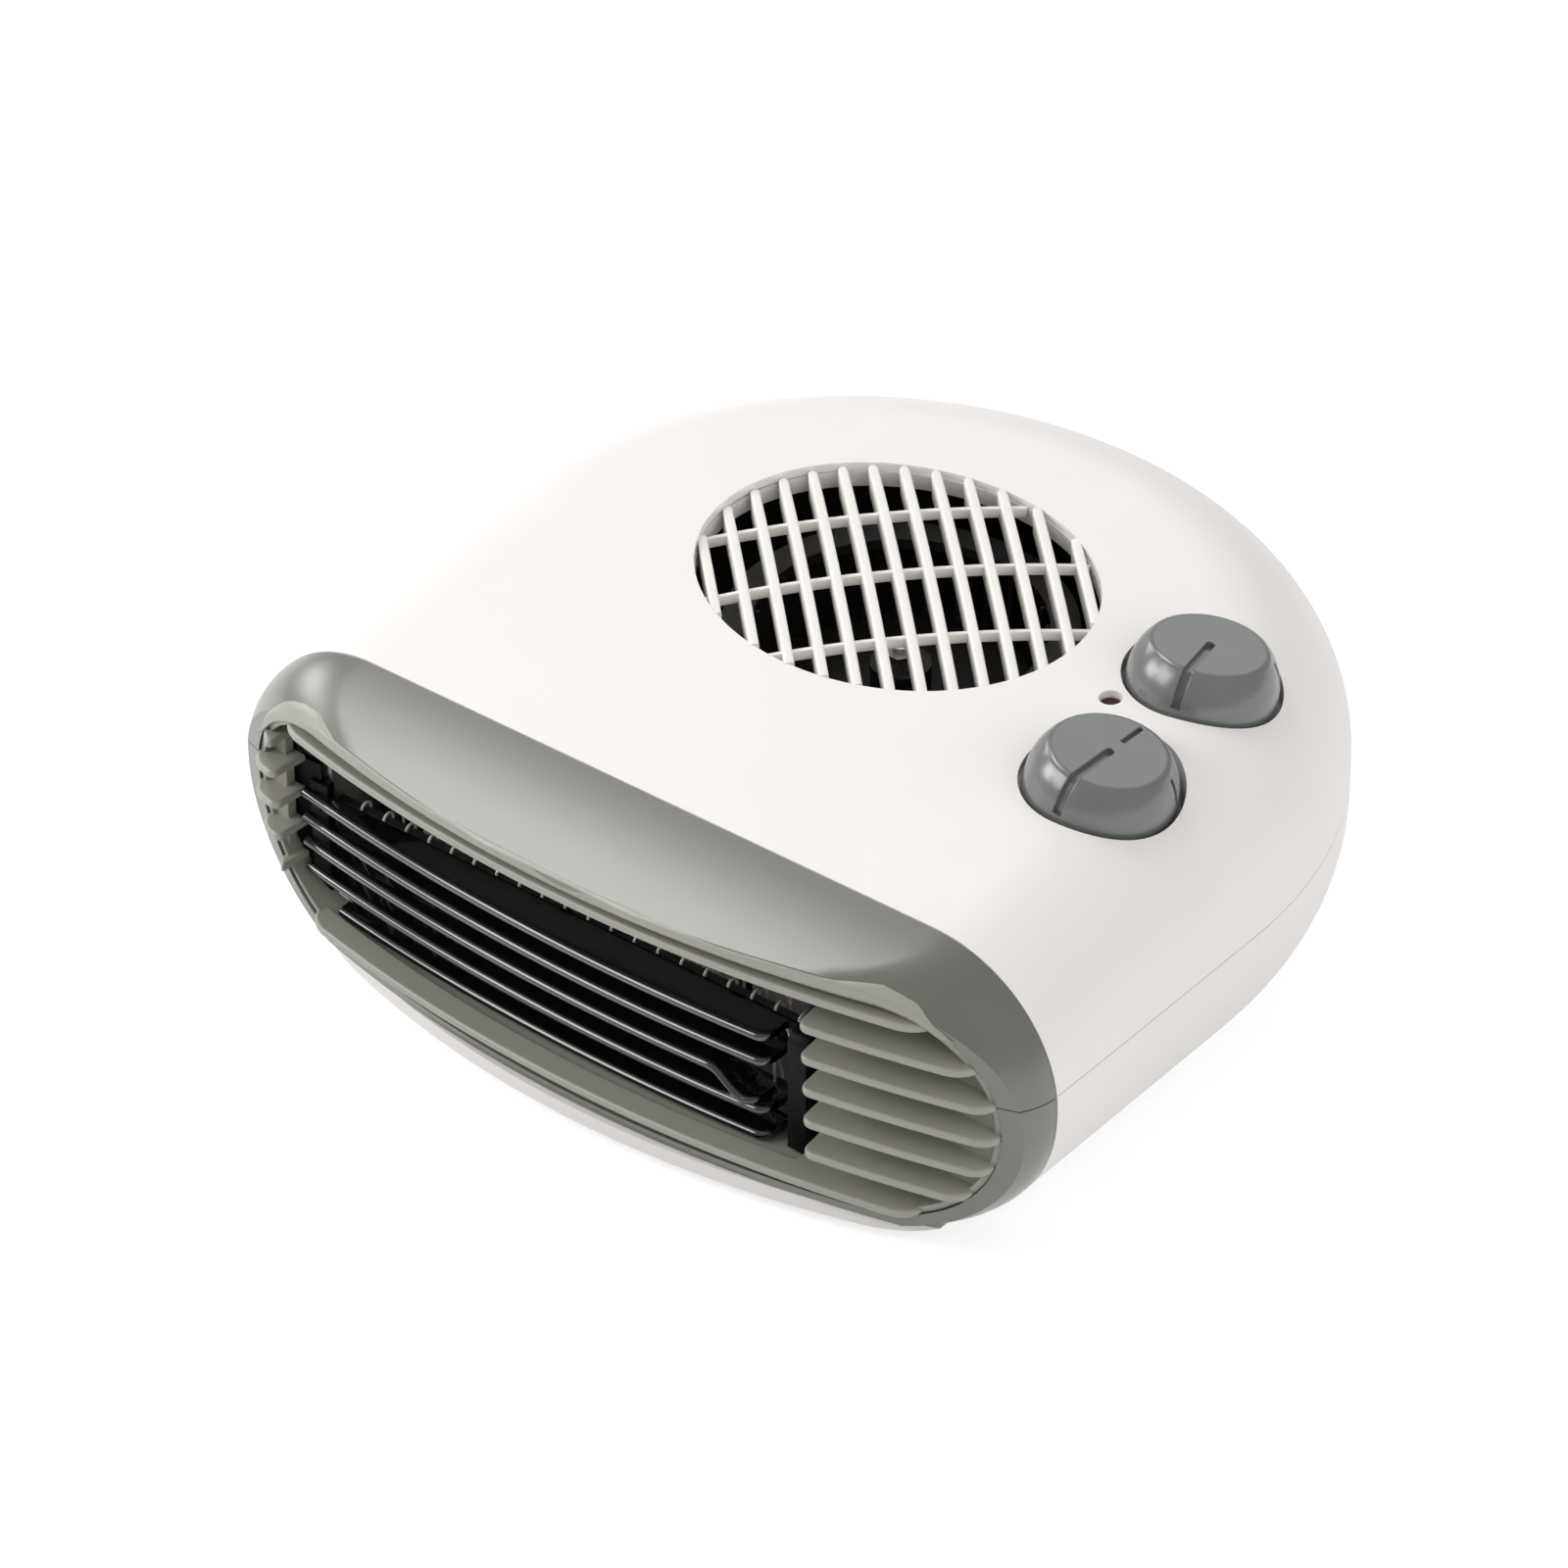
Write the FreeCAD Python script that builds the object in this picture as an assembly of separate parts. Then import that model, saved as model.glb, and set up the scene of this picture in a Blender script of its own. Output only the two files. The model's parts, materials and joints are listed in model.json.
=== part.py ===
import FreeCAD, Part
import math
import os

Vec = FreeCAD.Vector

# Body shell, in millimetres: X to the right seen from the front, Y to the rear, Z up from the table
body_width = 255.0
body_depth = 245.0
front_height = 88.5
crown_height = 97.0
crown_run = 150.0
bezel_depth = 34.5
foot_height = 4.0
parting_height = 55.0
wall = 2.5
shoulder_round = 38.0
base_round = 45.0
lip_thickness = 4.0
lip_setback = 4.0
lip_bow = 277.0

# Fits and seams
fit = 0.25
seam = 0.3
running_play = 0.05
seam_lip_wall = 1.1
seam_lip_height = 3.0

# Bezel and its mouth
bezel_gap = 0.6
bezel_side_curve = 16.0
bezel_hood_curve = 190.0
bezel_low_curve = 150.0
bezel_corner_shrink = 0.17
bezel_sections = 5
spigot_wall = 1.8
spigot_depth = 6.0
spigot_step = 0.4
bow_radius = 360.0
front_rake = 4.5
rim_depth = 5.0
mouth_side = 8.2
mouth_sill = 6.5
mouth_brow = 8.5
mouth_top_ease = 5.5
mouth_low_ease = 9.0

# Louvre insert in the mouth
blade_count = 7
blade_pitch = 10.15
blade_brow_drop = 5.0
blade_thickness = 2.4
blade_edge = 0.9
blade_bow = 430.0
blade_setback = 0.5
blade_corner = 13.5
blade_depth = 7.0
blade_rake = 0.057
stub_right = 49.8
stub_left = 9.3
stub_slant = 2.7
stub_corner = 3.0
grille_wall = 1.8
grille_back = 28.0
grille_setback = 0.8
grille_flange = 1.0
grille_flange_thickness = 2.0
panel_thickness = 3.0
panel_back = 24.5
panel_inset = 2.5

# Guard behind the louvres
bar_count = 5
bar_pitch = 7.7
bar_thickness = 2.4
bar_edge = 0.9
bar_sag = 10.08
bar_setback = 15.0
bar_sill = 3.1
bar_back = 26.5
bar_end_gap = 18.5
bar_left_gap = 0.8
bar_left_play = 1.5
bar_end_round = 3.5
crank_bar = 2
crank_run = 17.0
post_width = 6.0
post_gap = 7.5
post_front = 19.5
post_height = 36.0
post_round = 4.0
rib_width = 5.0
rib_pitch = 55.0
rib_count = 3
guard_tab = 22.0
guard_tab_height = 20.0
guard_tab_thickness = 1.75
guard_screw = 1.2

# Duct round the fan and out to the mouth
duct_wall = 2.0
duct_margin = 7.75
duct_top = 84.0
duct_ledge = 4.0
ledge_height = 3.0
lug_radius = 4.5
lug_thickness = 2.5
lug_post = 6.0
lug_front_y = -40.0
lug_right_angle = 45.0
lug_left_angle = 115.0

# Heating element
heater_setback = 32.5
heater_spacing = 16.0
heater_sill = 5.5
heater_height = 27.0
frame_thickness = 2.4
frame_rail = 4.0
frame_post = 5.0
frame_windows = 4
end_plate_thickness = 1.5
end_plate_rise = 19.0
end_plate_lift = 1.0
wire_radius = 0.4
wire_gap = 0.3
wire_turns = 20
wire_margin = 10.5
wire_swing = 35.0
wire_turnout = 3.0
cutout_radius = 7.5
cutout_height = 8.0
fuse_length = 14.0
fuse_width = 5.0

# Fan and motor on one upright axis
fan_offset = 20.0
shaft_radius = 2.5
impeller_radius = 46.0
impeller_height = 27.0
impeller_floor = 2.0
impeller_ring = 3.0
impeller_gap = 4.0
blade_chord = 9.0
fan_blade_wall = 1.2
fan_blade_count = 28
fan_blade_sweep = 10.0
fan_blade_lead = 3.0
hub_radius = 8.0
hub_height = 15.0
nut_radius = 5.0
nut_height = 4.0
stack_height = 20.0
stack_half_width = 30.0
stack_front = 20.0
coil_clearance = 7.75
rotor_radius = 12.6
air_gap = 0.6
core_leg = 11.0
coil_build = 10.0
coil_half_length = 16.0
coil_round = 4.0
bridge_thickness = 1.5
bridge_half_width = 8.0
bridge_reach = 42.0
spacer_height = 8.5
spacer_radius = 3.5
bolt_offset = 25.0
bolt_radius = 1.6
motor_post_offset = 37.0
motor_post_height = 5.5
motor_post_radius = 4.5
bearing_radius = 5.0
bearing_height = 5.5

# Knobs and what they turn
knob_sink = 4.5
knob_radius = 19.6
knob_top_radius = 15.0
knob_skirt = 3.0
knob_height = 14.6
knob_edge = 2.4
knob_wall = 2.2
knob_hub = 6.5
knob_play = 1.2
knob_lift = 0.8
knob_mark_width = 2.4
knob_mark_depth = 1.3
knob_mark_low = 5.0
slit_width = 1.4
slit_angle = 18.0
slit_end = 2.0
nick_start = 5.3
spindle_radius = 3.0
spindle_flat = 1.0
spindle_depth = 12.0
spindle_rise = 9.5
well_wall = 2.0
well_floor = 2.0
mode_inset = 38.1
mode_y = -20.0
mode_lean = 9.0
mode_recline = 3.0
mode_turn = 0.0
thermostat_inset = 43.3
thermostat_y = 29.6
thermostat_lean = 4.5
thermostat_recline = 8.5
thermostat_turn = 13.0
switch_radius = 14.0
switch_height = 17.0
thermostat_half_width = 12.5
thermostat_half_depth = 11.5
thermostat_height = 15.0
tag_length = 6.0
tag_width = 6.3
tag_thickness = 0.8
control_screw_offset = 10.0
control_screw_radius = 1.5

# Pilot lamp beside the knobs
lamp_inset = 55.5
lamp_y = 7.0
lens_radius = 2.8
lens_sink = 2.0
lens_flange = 4.2
lamp_sleeve = 16.0
lamp_length = 14.0
lamp_radius = 2.5

# Round intake grille in the top
intake_half_width = 55.0
intake_half_depth = 46.0
intake_x = -3.0
intake_offset = 2.0
intake_slant = 45.0
intake_dome = 4.5
intake_sink = 1.8
intake_depth = 8.0
intake_bars = 13
intake_pitch = 7.9
intake_bar_width = 2.6
intake_rib_pitch = 27.0
intake_rib_count = 3
intake_rib_width = 1.3
intake_rib_sink = 1.9
intake_rib_depth = 3.0
intake_ring_wall = 3.8
intake_ring_depth = 5.0
ear_radius = 4.0
ear_thickness = 2.0
ear_count = 3
ear_bite = 1.0

# Rear inlet, terminals, feet and fasteners
gland_drop = 8.0
gland_radius = 6.0
gland_bore = 3.6
gland_length = 13.0
gland_flange = 9.0
gland_flange_thickness = 2.5
gland_play = 0.6
terminal_width = 34.0
terminal_depth = 16.0
terminal_height = 14.0
terminal_setback = 29.0
terminal_post = 5.5
foot_radius = 8.0
foot_stem = 3.0
foot_stem_length = 5.0
foot_front_x = 72.0
foot_front_setback = 12.0
foot_rear_x = 45.0
foot_rear_offset = 30.0
column_radius = 4.5
column_side = 13.5
column_front_y = -45.0
column_rear_x = 62.0
column_rear_y = 78.0
screw_radius = 1.5
screw_head = 3.0
screw_head_height = 2.4
screw_seat_height = 30.0
screw_grip = 14.0

# Places worked out from the sizes above
front_y = -body_depth / 2
rear_y = body_depth / 2
half_width = body_width / 2
bezel_y = front_y + bezel_depth
arc_y = rear_y - half_width
crown_y = bezel_y + crown_run
fan_y = arc_y + fan_offset
intake_y = fan_y + intake_offset
foot_rear_y = fan_y + foot_rear_offset
crown_rise = crown_height - front_height
arch_radius = (crown_run ** 2 + crown_rise ** 2) / (2 * crown_rise)
floor_z = foot_height + wall
bezel_wall = wall + fit + spigot_wall
mouth_half = half_width - mouth_side
mouth_low = foot_height + mouth_sill
mouth_top = front_height - mouth_brow
mouth_top_round = shoulder_round - mouth_top_ease
mouth_low_round = base_round - mouth_low_ease
outlet_right = mouth_half - stub_right
outlet_left = stub_left - mouth_half
duct_right = outlet_right - duct_margin
duct_left = outlet_left + duct_margin
panel_y = front_y + panel_back
guard_inset = grille_wall + 2 * fit
bar_bow = outlet_left ** 2 / (2 * bar_sag)
stack_rear = duct_right - coil_build - coil_clearance
guard_right = outlet_right - post_gap
guard_left = duct_left - post_width / 2
tab_y = panel_y + panel_thickness + fit
guard_back = tab_y + guard_tab_thickness
duct_front_y = bezel_y + spigot_depth + fit
lip_top = foot_height + lip_thickness
heater_low = mouth_low + heater_sill
heater_top = heater_low + heater_height
heater_front_y = front_y + heater_setback
heater_back = heater_front_y + heater_spacing + frame_thickness + wire_turnout
end_plate_low = mouth_low + bar_sill + end_plate_lift
plate_right = duct_right - fit - end_plate_thickness
plate_left = duct_left + fit + end_plate_thickness
wire_pitch = (plate_right - plate_left - wire_margin) / wire_turns
post_top = mouth_low + bar_sill + post_height
gland_z = parting_height - gland_drop
gland_round = base_round - wall
gland_low = foot_height + base_round - gland_z + gland_flange
gland_inset = gland_round - math.sqrt(gland_round ** 2 - max(gland_low, 0) ** 2) + gland_play
terminal_y = rear_y - terminal_setback
terminal_low = floor_z + 2 * terminal_post
stack_low = floor_z + motor_post_height + bridge_thickness + spacer_height
stack_high = stack_low + stack_height
bridge_top = stack_high + spacer_height + bridge_thickness
impeller_low = bridge_top + impeller_gap
reach = body_width + body_depth


def box(x_low, x_high, y_low, y_high, z_low, z_high):
    return Part.makeBox(x_high - x_low, y_high - y_low, z_high - z_low, Vec(x_low, y_low, z_low))


def rod(radius, x, y, z_low, z_high):
    return Part.makeCylinder(radius, z_high - z_low, Vec(x, y, z_low))


def rod_along_y(radius, x, z, y_low, y_high):
    return Part.makeCylinder(radius, y_high - y_low, Vec(x, y_low, z), Vec(0, 1, 0))


def joined(shapes):
    whole = shapes[0]
    for shape in shapes[1:]:
        whole = whole.fuse(shape)
    return whole


def fused(shapes):
    return shapes[0].multiFuse(shapes[1:]).removeSplitter()


def arc(first, middle, last):
    return Part.Arc(first, middle, last).toShape()


def line(first, last):
    return Part.makeLine(first, last)


def polygon_prism(points, height):
    face = Part.Face(Part.makePolygon(points + points[:1]))
    return face.extrude(height)


def is_upright(edge):
    return edge.BoundBox.ZLength > 0.1 and edge.BoundBox.XLength + edge.BoundBox.YLength < 0.01


def arch_height(y):
    return crown_height - arch_radius + math.sqrt(arch_radius ** 2 - (y - crown_y) ** 2)


def skin_height(x, y):
    run = math.hypot(x, max(y - arc_y, 0.0))
    past = max(run - (half_width - shoulder_round), 0.0)
    return arch_height(y) - shoulder_round + math.sqrt(shoulder_round ** 2 - past ** 2)


def body_block(inset):
    """The white body as a solid, drawn in by the inset on every side and run on past the bezel."""
    half = half_width - inset
    low = foot_height + inset
    run_y = bezel_y - wall
    outline = [
        line(Vec(half, run_y, low), Vec(half, arc_y, low)),
        arc(Vec(half, arc_y, low), Vec(0, arc_y + half, low), Vec(-half, arc_y, low)),
        line(Vec(-half, arc_y, low), Vec(-half, run_y, low)),
        line(Vec(-half, run_y, low), Vec(half, run_y, low)),
    ]
    prism = Part.Face(Part.Wire(outline)).extrude(Vec(0, 0, crown_height))
    axis_z = crown_height - arch_radius
    arch = Part.makeCylinder(arch_radius - inset, 2 * reach, Vec(-reach, crown_y, axis_z), Vec(1, 0, 0))
    block = prism.common(arch)
    top = [e for e in block.Edges if e.BoundBox.ZMin > low + 1 and e.BoundBox.YMax > run_y + 1]
    block = block.makeFillet(shoulder_round - inset, top)
    bottom = [e for e in block.Edges if e.BoundBox.ZMax < low + 0.01 and e.BoundBox.YMax > run_y + 1]
    return block.makeFillet(base_round - inset, bottom)


def oblong(y, half, low, top, low_round, top_round):
    """A closed outline in a plane of constant y, with its own corner rounds above and below."""
    k = math.sqrt(0.5)
    up = top - top_round
    down = low + low_round
    over = half - top_round
    under = half - low_round
    top_k = top_round * k
    low_k = low_round * k
    return Part.Wire([
        line(Vec(-over, y, top), Vec(over, y, top)),
        arc(Vec(over, y, top), Vec(over + top_k, y, up + top_k), Vec(half, y, up)),
        line(Vec(half, y, up), Vec(half, y, down)),
        arc(Vec(half, y, down), Vec(under + low_k, y, down - low_k), Vec(under, y, low)),
        line(Vec(under, y, low), Vec(-under, y, low)),
        arc(Vec(-under, y, low), Vec(-under - low_k, y, down - low_k), Vec(-half, y, down)),
        line(Vec(-half, y, down), Vec(-half, y, up)),
        arc(Vec(-half, y, up), Vec(-over - top_k, y, up + top_k), Vec(-over, y, top)),
    ])


def body_section(y, inset):
    return oblong(y, half_width - inset, foot_height + inset, front_height - inset,
                  base_round - inset, shoulder_round - inset)


def nose_section(ahead, inset):
    slope = crown_run / (arch_radius - crown_rise)
    half = half_width - ahead ** 2 / (2 * bezel_side_curve) - inset
    top = front_height - slope * ahead - ahead ** 2 / (2 * bezel_hood_curve) - inset
    low = foot_height + ahead ** 2 / (2 * bezel_low_curve) + inset
    shrink = bezel_corner_shrink * ahead + inset
    return oblong(bezel_y - ahead, half, low, top, base_round - shrink, shoulder_round - shrink)


def nose_block(inset):
    """The bezel's outer form, drawn in by the inset, from its rear edge to the brow."""
    step = (bezel_depth - bezel_gap) / (bezel_sections - 1)
    sections = [nose_section(bezel_gap + i * step, inset) for i in range(bezel_sections)]
    return Part.makeLoft(sections, True, False)


def bow_block(setback):
    """Everything behind the bowed and raked front face of the bezel."""
    rake = math.radians(front_rake)
    axis = Vec(0, -math.sin(rake), math.cos(rake))
    middle = Vec(0, front_y + setback + bow_radius / math.cos(rake), mouth_top)
    return Part.makeCylinder(bow_radius, 2 * reach, middle - axis * reach, axis)


def mouth_block(inset, back_y):
    start_y = front_y - rim_depth
    wire = oblong(start_y, mouth_half - inset, mouth_low + inset, mouth_top - inset,
                  mouth_low_round - inset, mouth_top_round - inset)
    return Part.Face(wire).extrude(Vec(0, back_y - start_y, 0))


def mouth_reach(z, inset):
    """Half the width of the mouth at a height, drawn in by the inset."""
    above = z - (mouth_top - mouth_top_round)
    below = (mouth_low + mouth_low_round) - z
    if above > 0:
        return mouth_half - mouth_top_round + math.sqrt((mouth_top_round - inset) ** 2 - above ** 2)
    if below > 0:
        return mouth_half - mouth_low_round + math.sqrt((mouth_low_round - inset) ** 2 - below ** 2)
    return mouth_half - inset


def lip_block(grow, setback, z_low, z_high):
    front = front_y + lip_setback + setback - grow
    half = half_width - base_round / 2 + grow
    side_y = front + lip_bow - math.sqrt(lip_bow ** 2 - half ** 2)
    back_y = bezel_y + wall + grow
    outline = [
        arc(Vec(-half, side_y, z_low), Vec(0, front, z_low), Vec(half, side_y, z_low)),
        line(Vec(half, side_y, z_low), Vec(half, back_y, z_low)),
        line(Vec(half, back_y, z_low), Vec(-half, back_y, z_low)),
        line(Vec(-half, back_y, z_low), Vec(-half, side_y, z_low)),
    ]
    return Part.Face(Part.Wire(outline)).extrude(Vec(0, 0, z_high - z_low))


def column_places():
    side = half_width - column_side
    return [(side, column_front_y), (-side, column_front_y),
            (column_rear_x, column_rear_y), (-column_rear_x, column_rear_y)]


def foot_places():
    front = bezel_y + foot_front_setback
    return {"front_left": (-foot_front_x, front), "front_right": (foot_front_x, front),
            "rear_left": (-foot_rear_x, foot_rear_y), "rear_right": (foot_rear_x, foot_rear_y)}


def lug_places():
    """Three places beside the duct: by the right leg, and two round the back of the fan."""
    out = duct_wall + lug_radius
    big_radius = -duct_left
    big_y = fan_y + duct_right - big_radius
    right = math.radians(lug_right_angle)
    left = math.radians(lug_left_angle)
    return [
        (duct_right + out, lug_front_y),
        ((duct_right + out) * math.cos(right), fan_y + (duct_right + out) * math.sin(right)),
        ((big_radius + out) * math.cos(left), big_y + (big_radius + out) * math.sin(left)),
    ]


def knob_frame(inset, y, lean, recline, turn):
    """A knob's seat below the mean height of its well's rim, leaning right and reclining to the rear."""
    x = half_width - inset
    well = knob_radius + knob_play
    around = [(x + well, y), (x - well, y), (x, y + well), (x, y - well)]
    rim = [skin_height(rim_x, rim_y) for rim_x, rim_y in around]
    tilt = FreeCAD.Rotation(Vec(0, 1, 0), lean) * FreeCAD.Rotation(Vec(1, 0, 0), -recline)
    seat = Vec(x, y, sum(rim) / len(rim)) - tilt.multVec(Vec(0, 0, knob_sink))
    return FreeCAD.Placement(seat, tilt * FreeCAD.Rotation(Vec(0, 0, 1), turn))


def placed(shape, frame):
    return shape.transformed(frame.toMatrix())


mode_frame = knob_frame(mode_inset, mode_y, mode_lean, mode_recline, mode_turn)
thermostat_frame = knob_frame(thermostat_inset, thermostat_y, thermostat_lean, thermostat_recline,
                              thermostat_turn)
intake_tilt = math.degrees(math.asin((crown_y - intake_y) / arch_radius))
intake_seat = Vec(intake_x, intake_y, arch_height(intake_y))
intake_frame = FreeCAD.Placement(intake_seat, FreeCAD.Rotation(Vec(1, 0, 0), intake_tilt))
lamp_x = half_width - lamp_inset
lamp_ceiling = arch_height(lamp_y) - wall
ear_out = intake_ring_wall + ear_radius - ear_bite


def knob_blank(inset):
    """The knob's domed form with its flat top, on its own axis, seated at zero and drawn in by the inset."""
    rise = knob_height - knob_skirt
    fall = knob_radius - knob_top_radius
    bulge = (rise ** 2 + fall ** 2) / (2 * fall)
    middle_x = knob_radius - bulge
    radius = knob_radius - inset
    top = knob_height - inset
    lean = math.asin((top - knob_skirt) / (bulge - inset))

    def on_side(turn):
        reach_out = middle_x + (bulge - inset) * math.cos(turn)
        return Vec(reach_out, 0, knob_skirt + (bulge - inset) * math.sin(turn))

    outline = [
        line(Vec(0, 0, 0), Vec(radius, 0, 0)),
        line(Vec(radius, 0, 0), Vec(radius, 0, knob_skirt)),
        arc(Vec(radius, 0, knob_skirt), on_side(lean / 2), on_side(lean)),
        line(on_side(lean), Vec(0, 0, top)),
        line(Vec(0, 0, top), Vec(0, 0, 0)),
    ]
    blank = Part.Face(Part.Wire(outline)).revolve(Vec(0, 0, 0), Vec(0, 0, 1), 360)
    rim = [e for e in blank.Edges if e.BoundBox.ZMin > top - 0.01 and e.BoundBox.XLength > radius]
    return blank.makeFillet(knob_edge, rim)


def spindle_blank():
    low = -knob_lift - well_floor - spindle_depth
    body = rod(spindle_radius, 0, 0, low, spindle_rise)
    flat_x = spindle_radius - spindle_flat
    flat = box(flat_x, spindle_radius + 1, -knob_hub, knob_hub, 0, spindle_rise + 1)
    return body.cut(flat)


def knob(has_nick):
    """A hollow cap with a keyed hub, a pointer groove towards the front and a slit in its side."""
    blank = knob_blank(0)
    band = blank.cut(knob_blank(knob_mark_depth))
    mark = box(-knob_mark_width / 2, knob_mark_width / 2, -knob_radius, 0, knob_mark_low, knob_height)
    mark = mark.fuse(rod(knob_mark_width / 2, 0, 0, knob_mark_low, knob_height))
    grooves = [band.common(mark)]
    slit = box(knob_hub, knob_radius, -slit_width / 2, slit_width / 2, knob_mark_low, knob_height - slit_end)
    slit.rotate(Vec(0, 0, 0), Vec(0, 0, 1), slit_angle)
    grooves.append(band.common(slit))
    if has_nick:
        nick_low = knob_height - knob_mark_depth
        nick_end = knob_top_radius - slit_end
        nick = box(-slit_width / 2, slit_width / 2, nick_start, nick_end, nick_low, knob_height)
        grooves.append(nick.fuse(rod(slit_width / 2, 0, nick_end, nick_low, knob_height)))
    cavity = knob_blank(knob_wall + knob_mark_depth)
    hub = rod(knob_hub, 0, 0, knob_lift, knob_height - knob_mark_depth - fit)
    shape = blank.cut(cavity).fuse(hub).cut(spindle_blank())
    for groove in grooves:
        shape = shape.cut(groove)
    return shape.removeSplitter()


def control_screw_places():
    return [(0, control_screw_offset), (0, -control_screw_offset)]


def control_screws():
    floor = -knob_lift
    screws = []
    for frame in (mode_frame, thermostat_frame):
        for x, y in control_screw_places():
            shank = rod(control_screw_radius, x, y, floor - well_floor - spindle_depth / 2, floor)
            head = rod(2 * control_screw_radius, x, y, floor, floor + control_screw_radius)
            screws.append(placed(shank.fuse(head).removeSplitter(), frame))
    return Part.makeCompound(screws)


def control_body(blank, low):
    """A switch or thermostat body under a well floor, bored for its spindle and screws, with tags below."""
    top = -knob_lift - well_floor
    bore = rod(spindle_radius + running_play, 0, 0, top - spindle_depth - fit, top)
    shape = blank.cut(bore)
    for x, y in control_screw_places():
        shape = shape.cut(rod(control_screw_radius, x, y, top - spindle_depth / 2, top))
    tags = []
    for x in (-tag_width, 0, tag_width):
        tags.append(box(x - tag_thickness / 2, x + tag_thickness / 2, -tag_width / 2, tag_width / 2,
                        low - tag_length, low))
    return fused([shape] + tags)


def mode_switch():
    top = -knob_lift - well_floor
    blank = rod(switch_radius, 0, 0, top - switch_height, top)
    return placed(control_body(blank, top - switch_height), mode_frame)


def thermostat():
    top = -knob_lift - well_floor
    low = top - thermostat_height
    blank = box(-thermostat_half_width, thermostat_half_width, -thermostat_half_depth, thermostat_half_depth,
                low, top)
    return placed(control_body(blank, low), thermostat_frame)


def oval(grow, z_low, z_high):
    """An upright prism in the intake's own frame, its outline grown from that of the opening."""
    outline = Part.Ellipse(Vec(0, 0, z_low), intake_half_width + grow, intake_half_depth + grow).toShape()
    return Part.Face(Part.Wire([outline])).extrude(Vec(0, 0, z_high - z_low))


def intake_bars_and_ribs():
    """Slanted bars and thinner cross ribs cut from one domed cap, in the grille's own frame."""
    dome_radius = (intake_half_width ** 2 + intake_dome ** 2) / (2 * intake_dome)
    far = intake_half_width
    centre = Vec(0, 0, intake_dome - intake_sink - dome_radius)
    rim = oval(0, -far, far)

    def shell(sink, depth):
        outer = Part.makeSphere(dome_radius - sink, centre)
        inner = Part.makeSphere(dome_radius - sink - depth, centre)
        return rim.common(outer).cut(inner)

    def slats(count, pitch, width, angle):
        strips = []
        for i in range(count):
            x = (i - (count - 1) / 2) * pitch
            strip = box(x - width / 2, x + width / 2, -far, far, -far, far)
            strip.rotate(Vec(0, 0, 0), Vec(0, 0, 1), angle)
            strips.append(strip)
        return Part.makeCompound(strips)

    bar_slats = slats(intake_bars, intake_pitch, intake_bar_width, intake_slant)
    rib_slats = slats(intake_rib_count, intake_rib_pitch, intake_rib_width, -intake_slant)
    bars = shell(0, intake_depth).common(bar_slats)
    ribs = shell(intake_rib_sink, intake_rib_depth).common(rib_slats)
    return bars.Solids + ribs.Solids


def ear_places():
    turns = [math.radians(90 + 360 * i / ear_count) for i in range(ear_count)]
    out_x = intake_half_width + ear_out
    out_y = intake_half_depth + ear_out
    return [(out_x * math.cos(t), out_y * math.sin(t)) for t in turns]


def intake_grille(clear_block):
    low = -wall - fit - intake_ring_depth
    ring = oval(intake_ring_wall, low, 0).cut(oval(0, low, 0))
    ears = []
    for x, y in ear_places():
        ears.append(rod(ear_radius, x, y, low, low + ear_thickness).cut(oval(0, low, 0)))
    frame = placed(fused([ring] + ears), intake_frame).common(clear_block)
    holes = [placed(rod(screw_radius, x, y, low, 0), intake_frame) for x, y in ear_places()]
    frame = frame.cut(Part.makeCompound(holes))
    return fused([frame] + [placed(s, intake_frame) for s in intake_bars_and_ribs()])


def grille_screws():
    low = -wall - fit - intake_ring_depth
    screws = []
    for x, y in ear_places():
        head = rod(screw_head - fit, x, y, low - screw_radius, low)
        shank = rod(screw_radius, x, y, low, low + ear_thickness + wall)
        screws.append(placed(head.fuse(shank).removeSplitter(), intake_frame))
    return Part.makeCompound(screws)


def housings():
    """The white shell, split at the parting line into its upper and lower halves."""
    outer = body_block(0)
    inner = body_block(wall)
    lip_outer = body_block(wall - seam_lip_wall)
    groove_outer = body_block(wall - seam_lip_wall - fit)
    behind = box(-reach, reach, bezel_y, reach, 0, reach)
    outer = outer.common(behind)
    shell = outer.cut(inner)
    above = box(-reach, reach, -reach, reach, parting_height + seam / 2, reach)
    below = box(-reach, reach, -reach, reach, 0, parting_height - seam / 2)
    lip_zone = box(-reach, reach, bezel_y + spigot_depth + fit, reach, parting_height - seam,
                   parting_height + seam_lip_height)
    groove_zone = box(-reach, reach, bezel_y, reach, 0, parting_height + seam_lip_height + fit)
    upper = upper_housing(shell.common(above).cut(groove_outer.common(groove_zone)), outer)
    seam_lip = lip_outer.cut(inner).common(lip_zone)
    lower = lower_housing(shell.common(below), outer, seam_lip)
    return upper, lower


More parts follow.
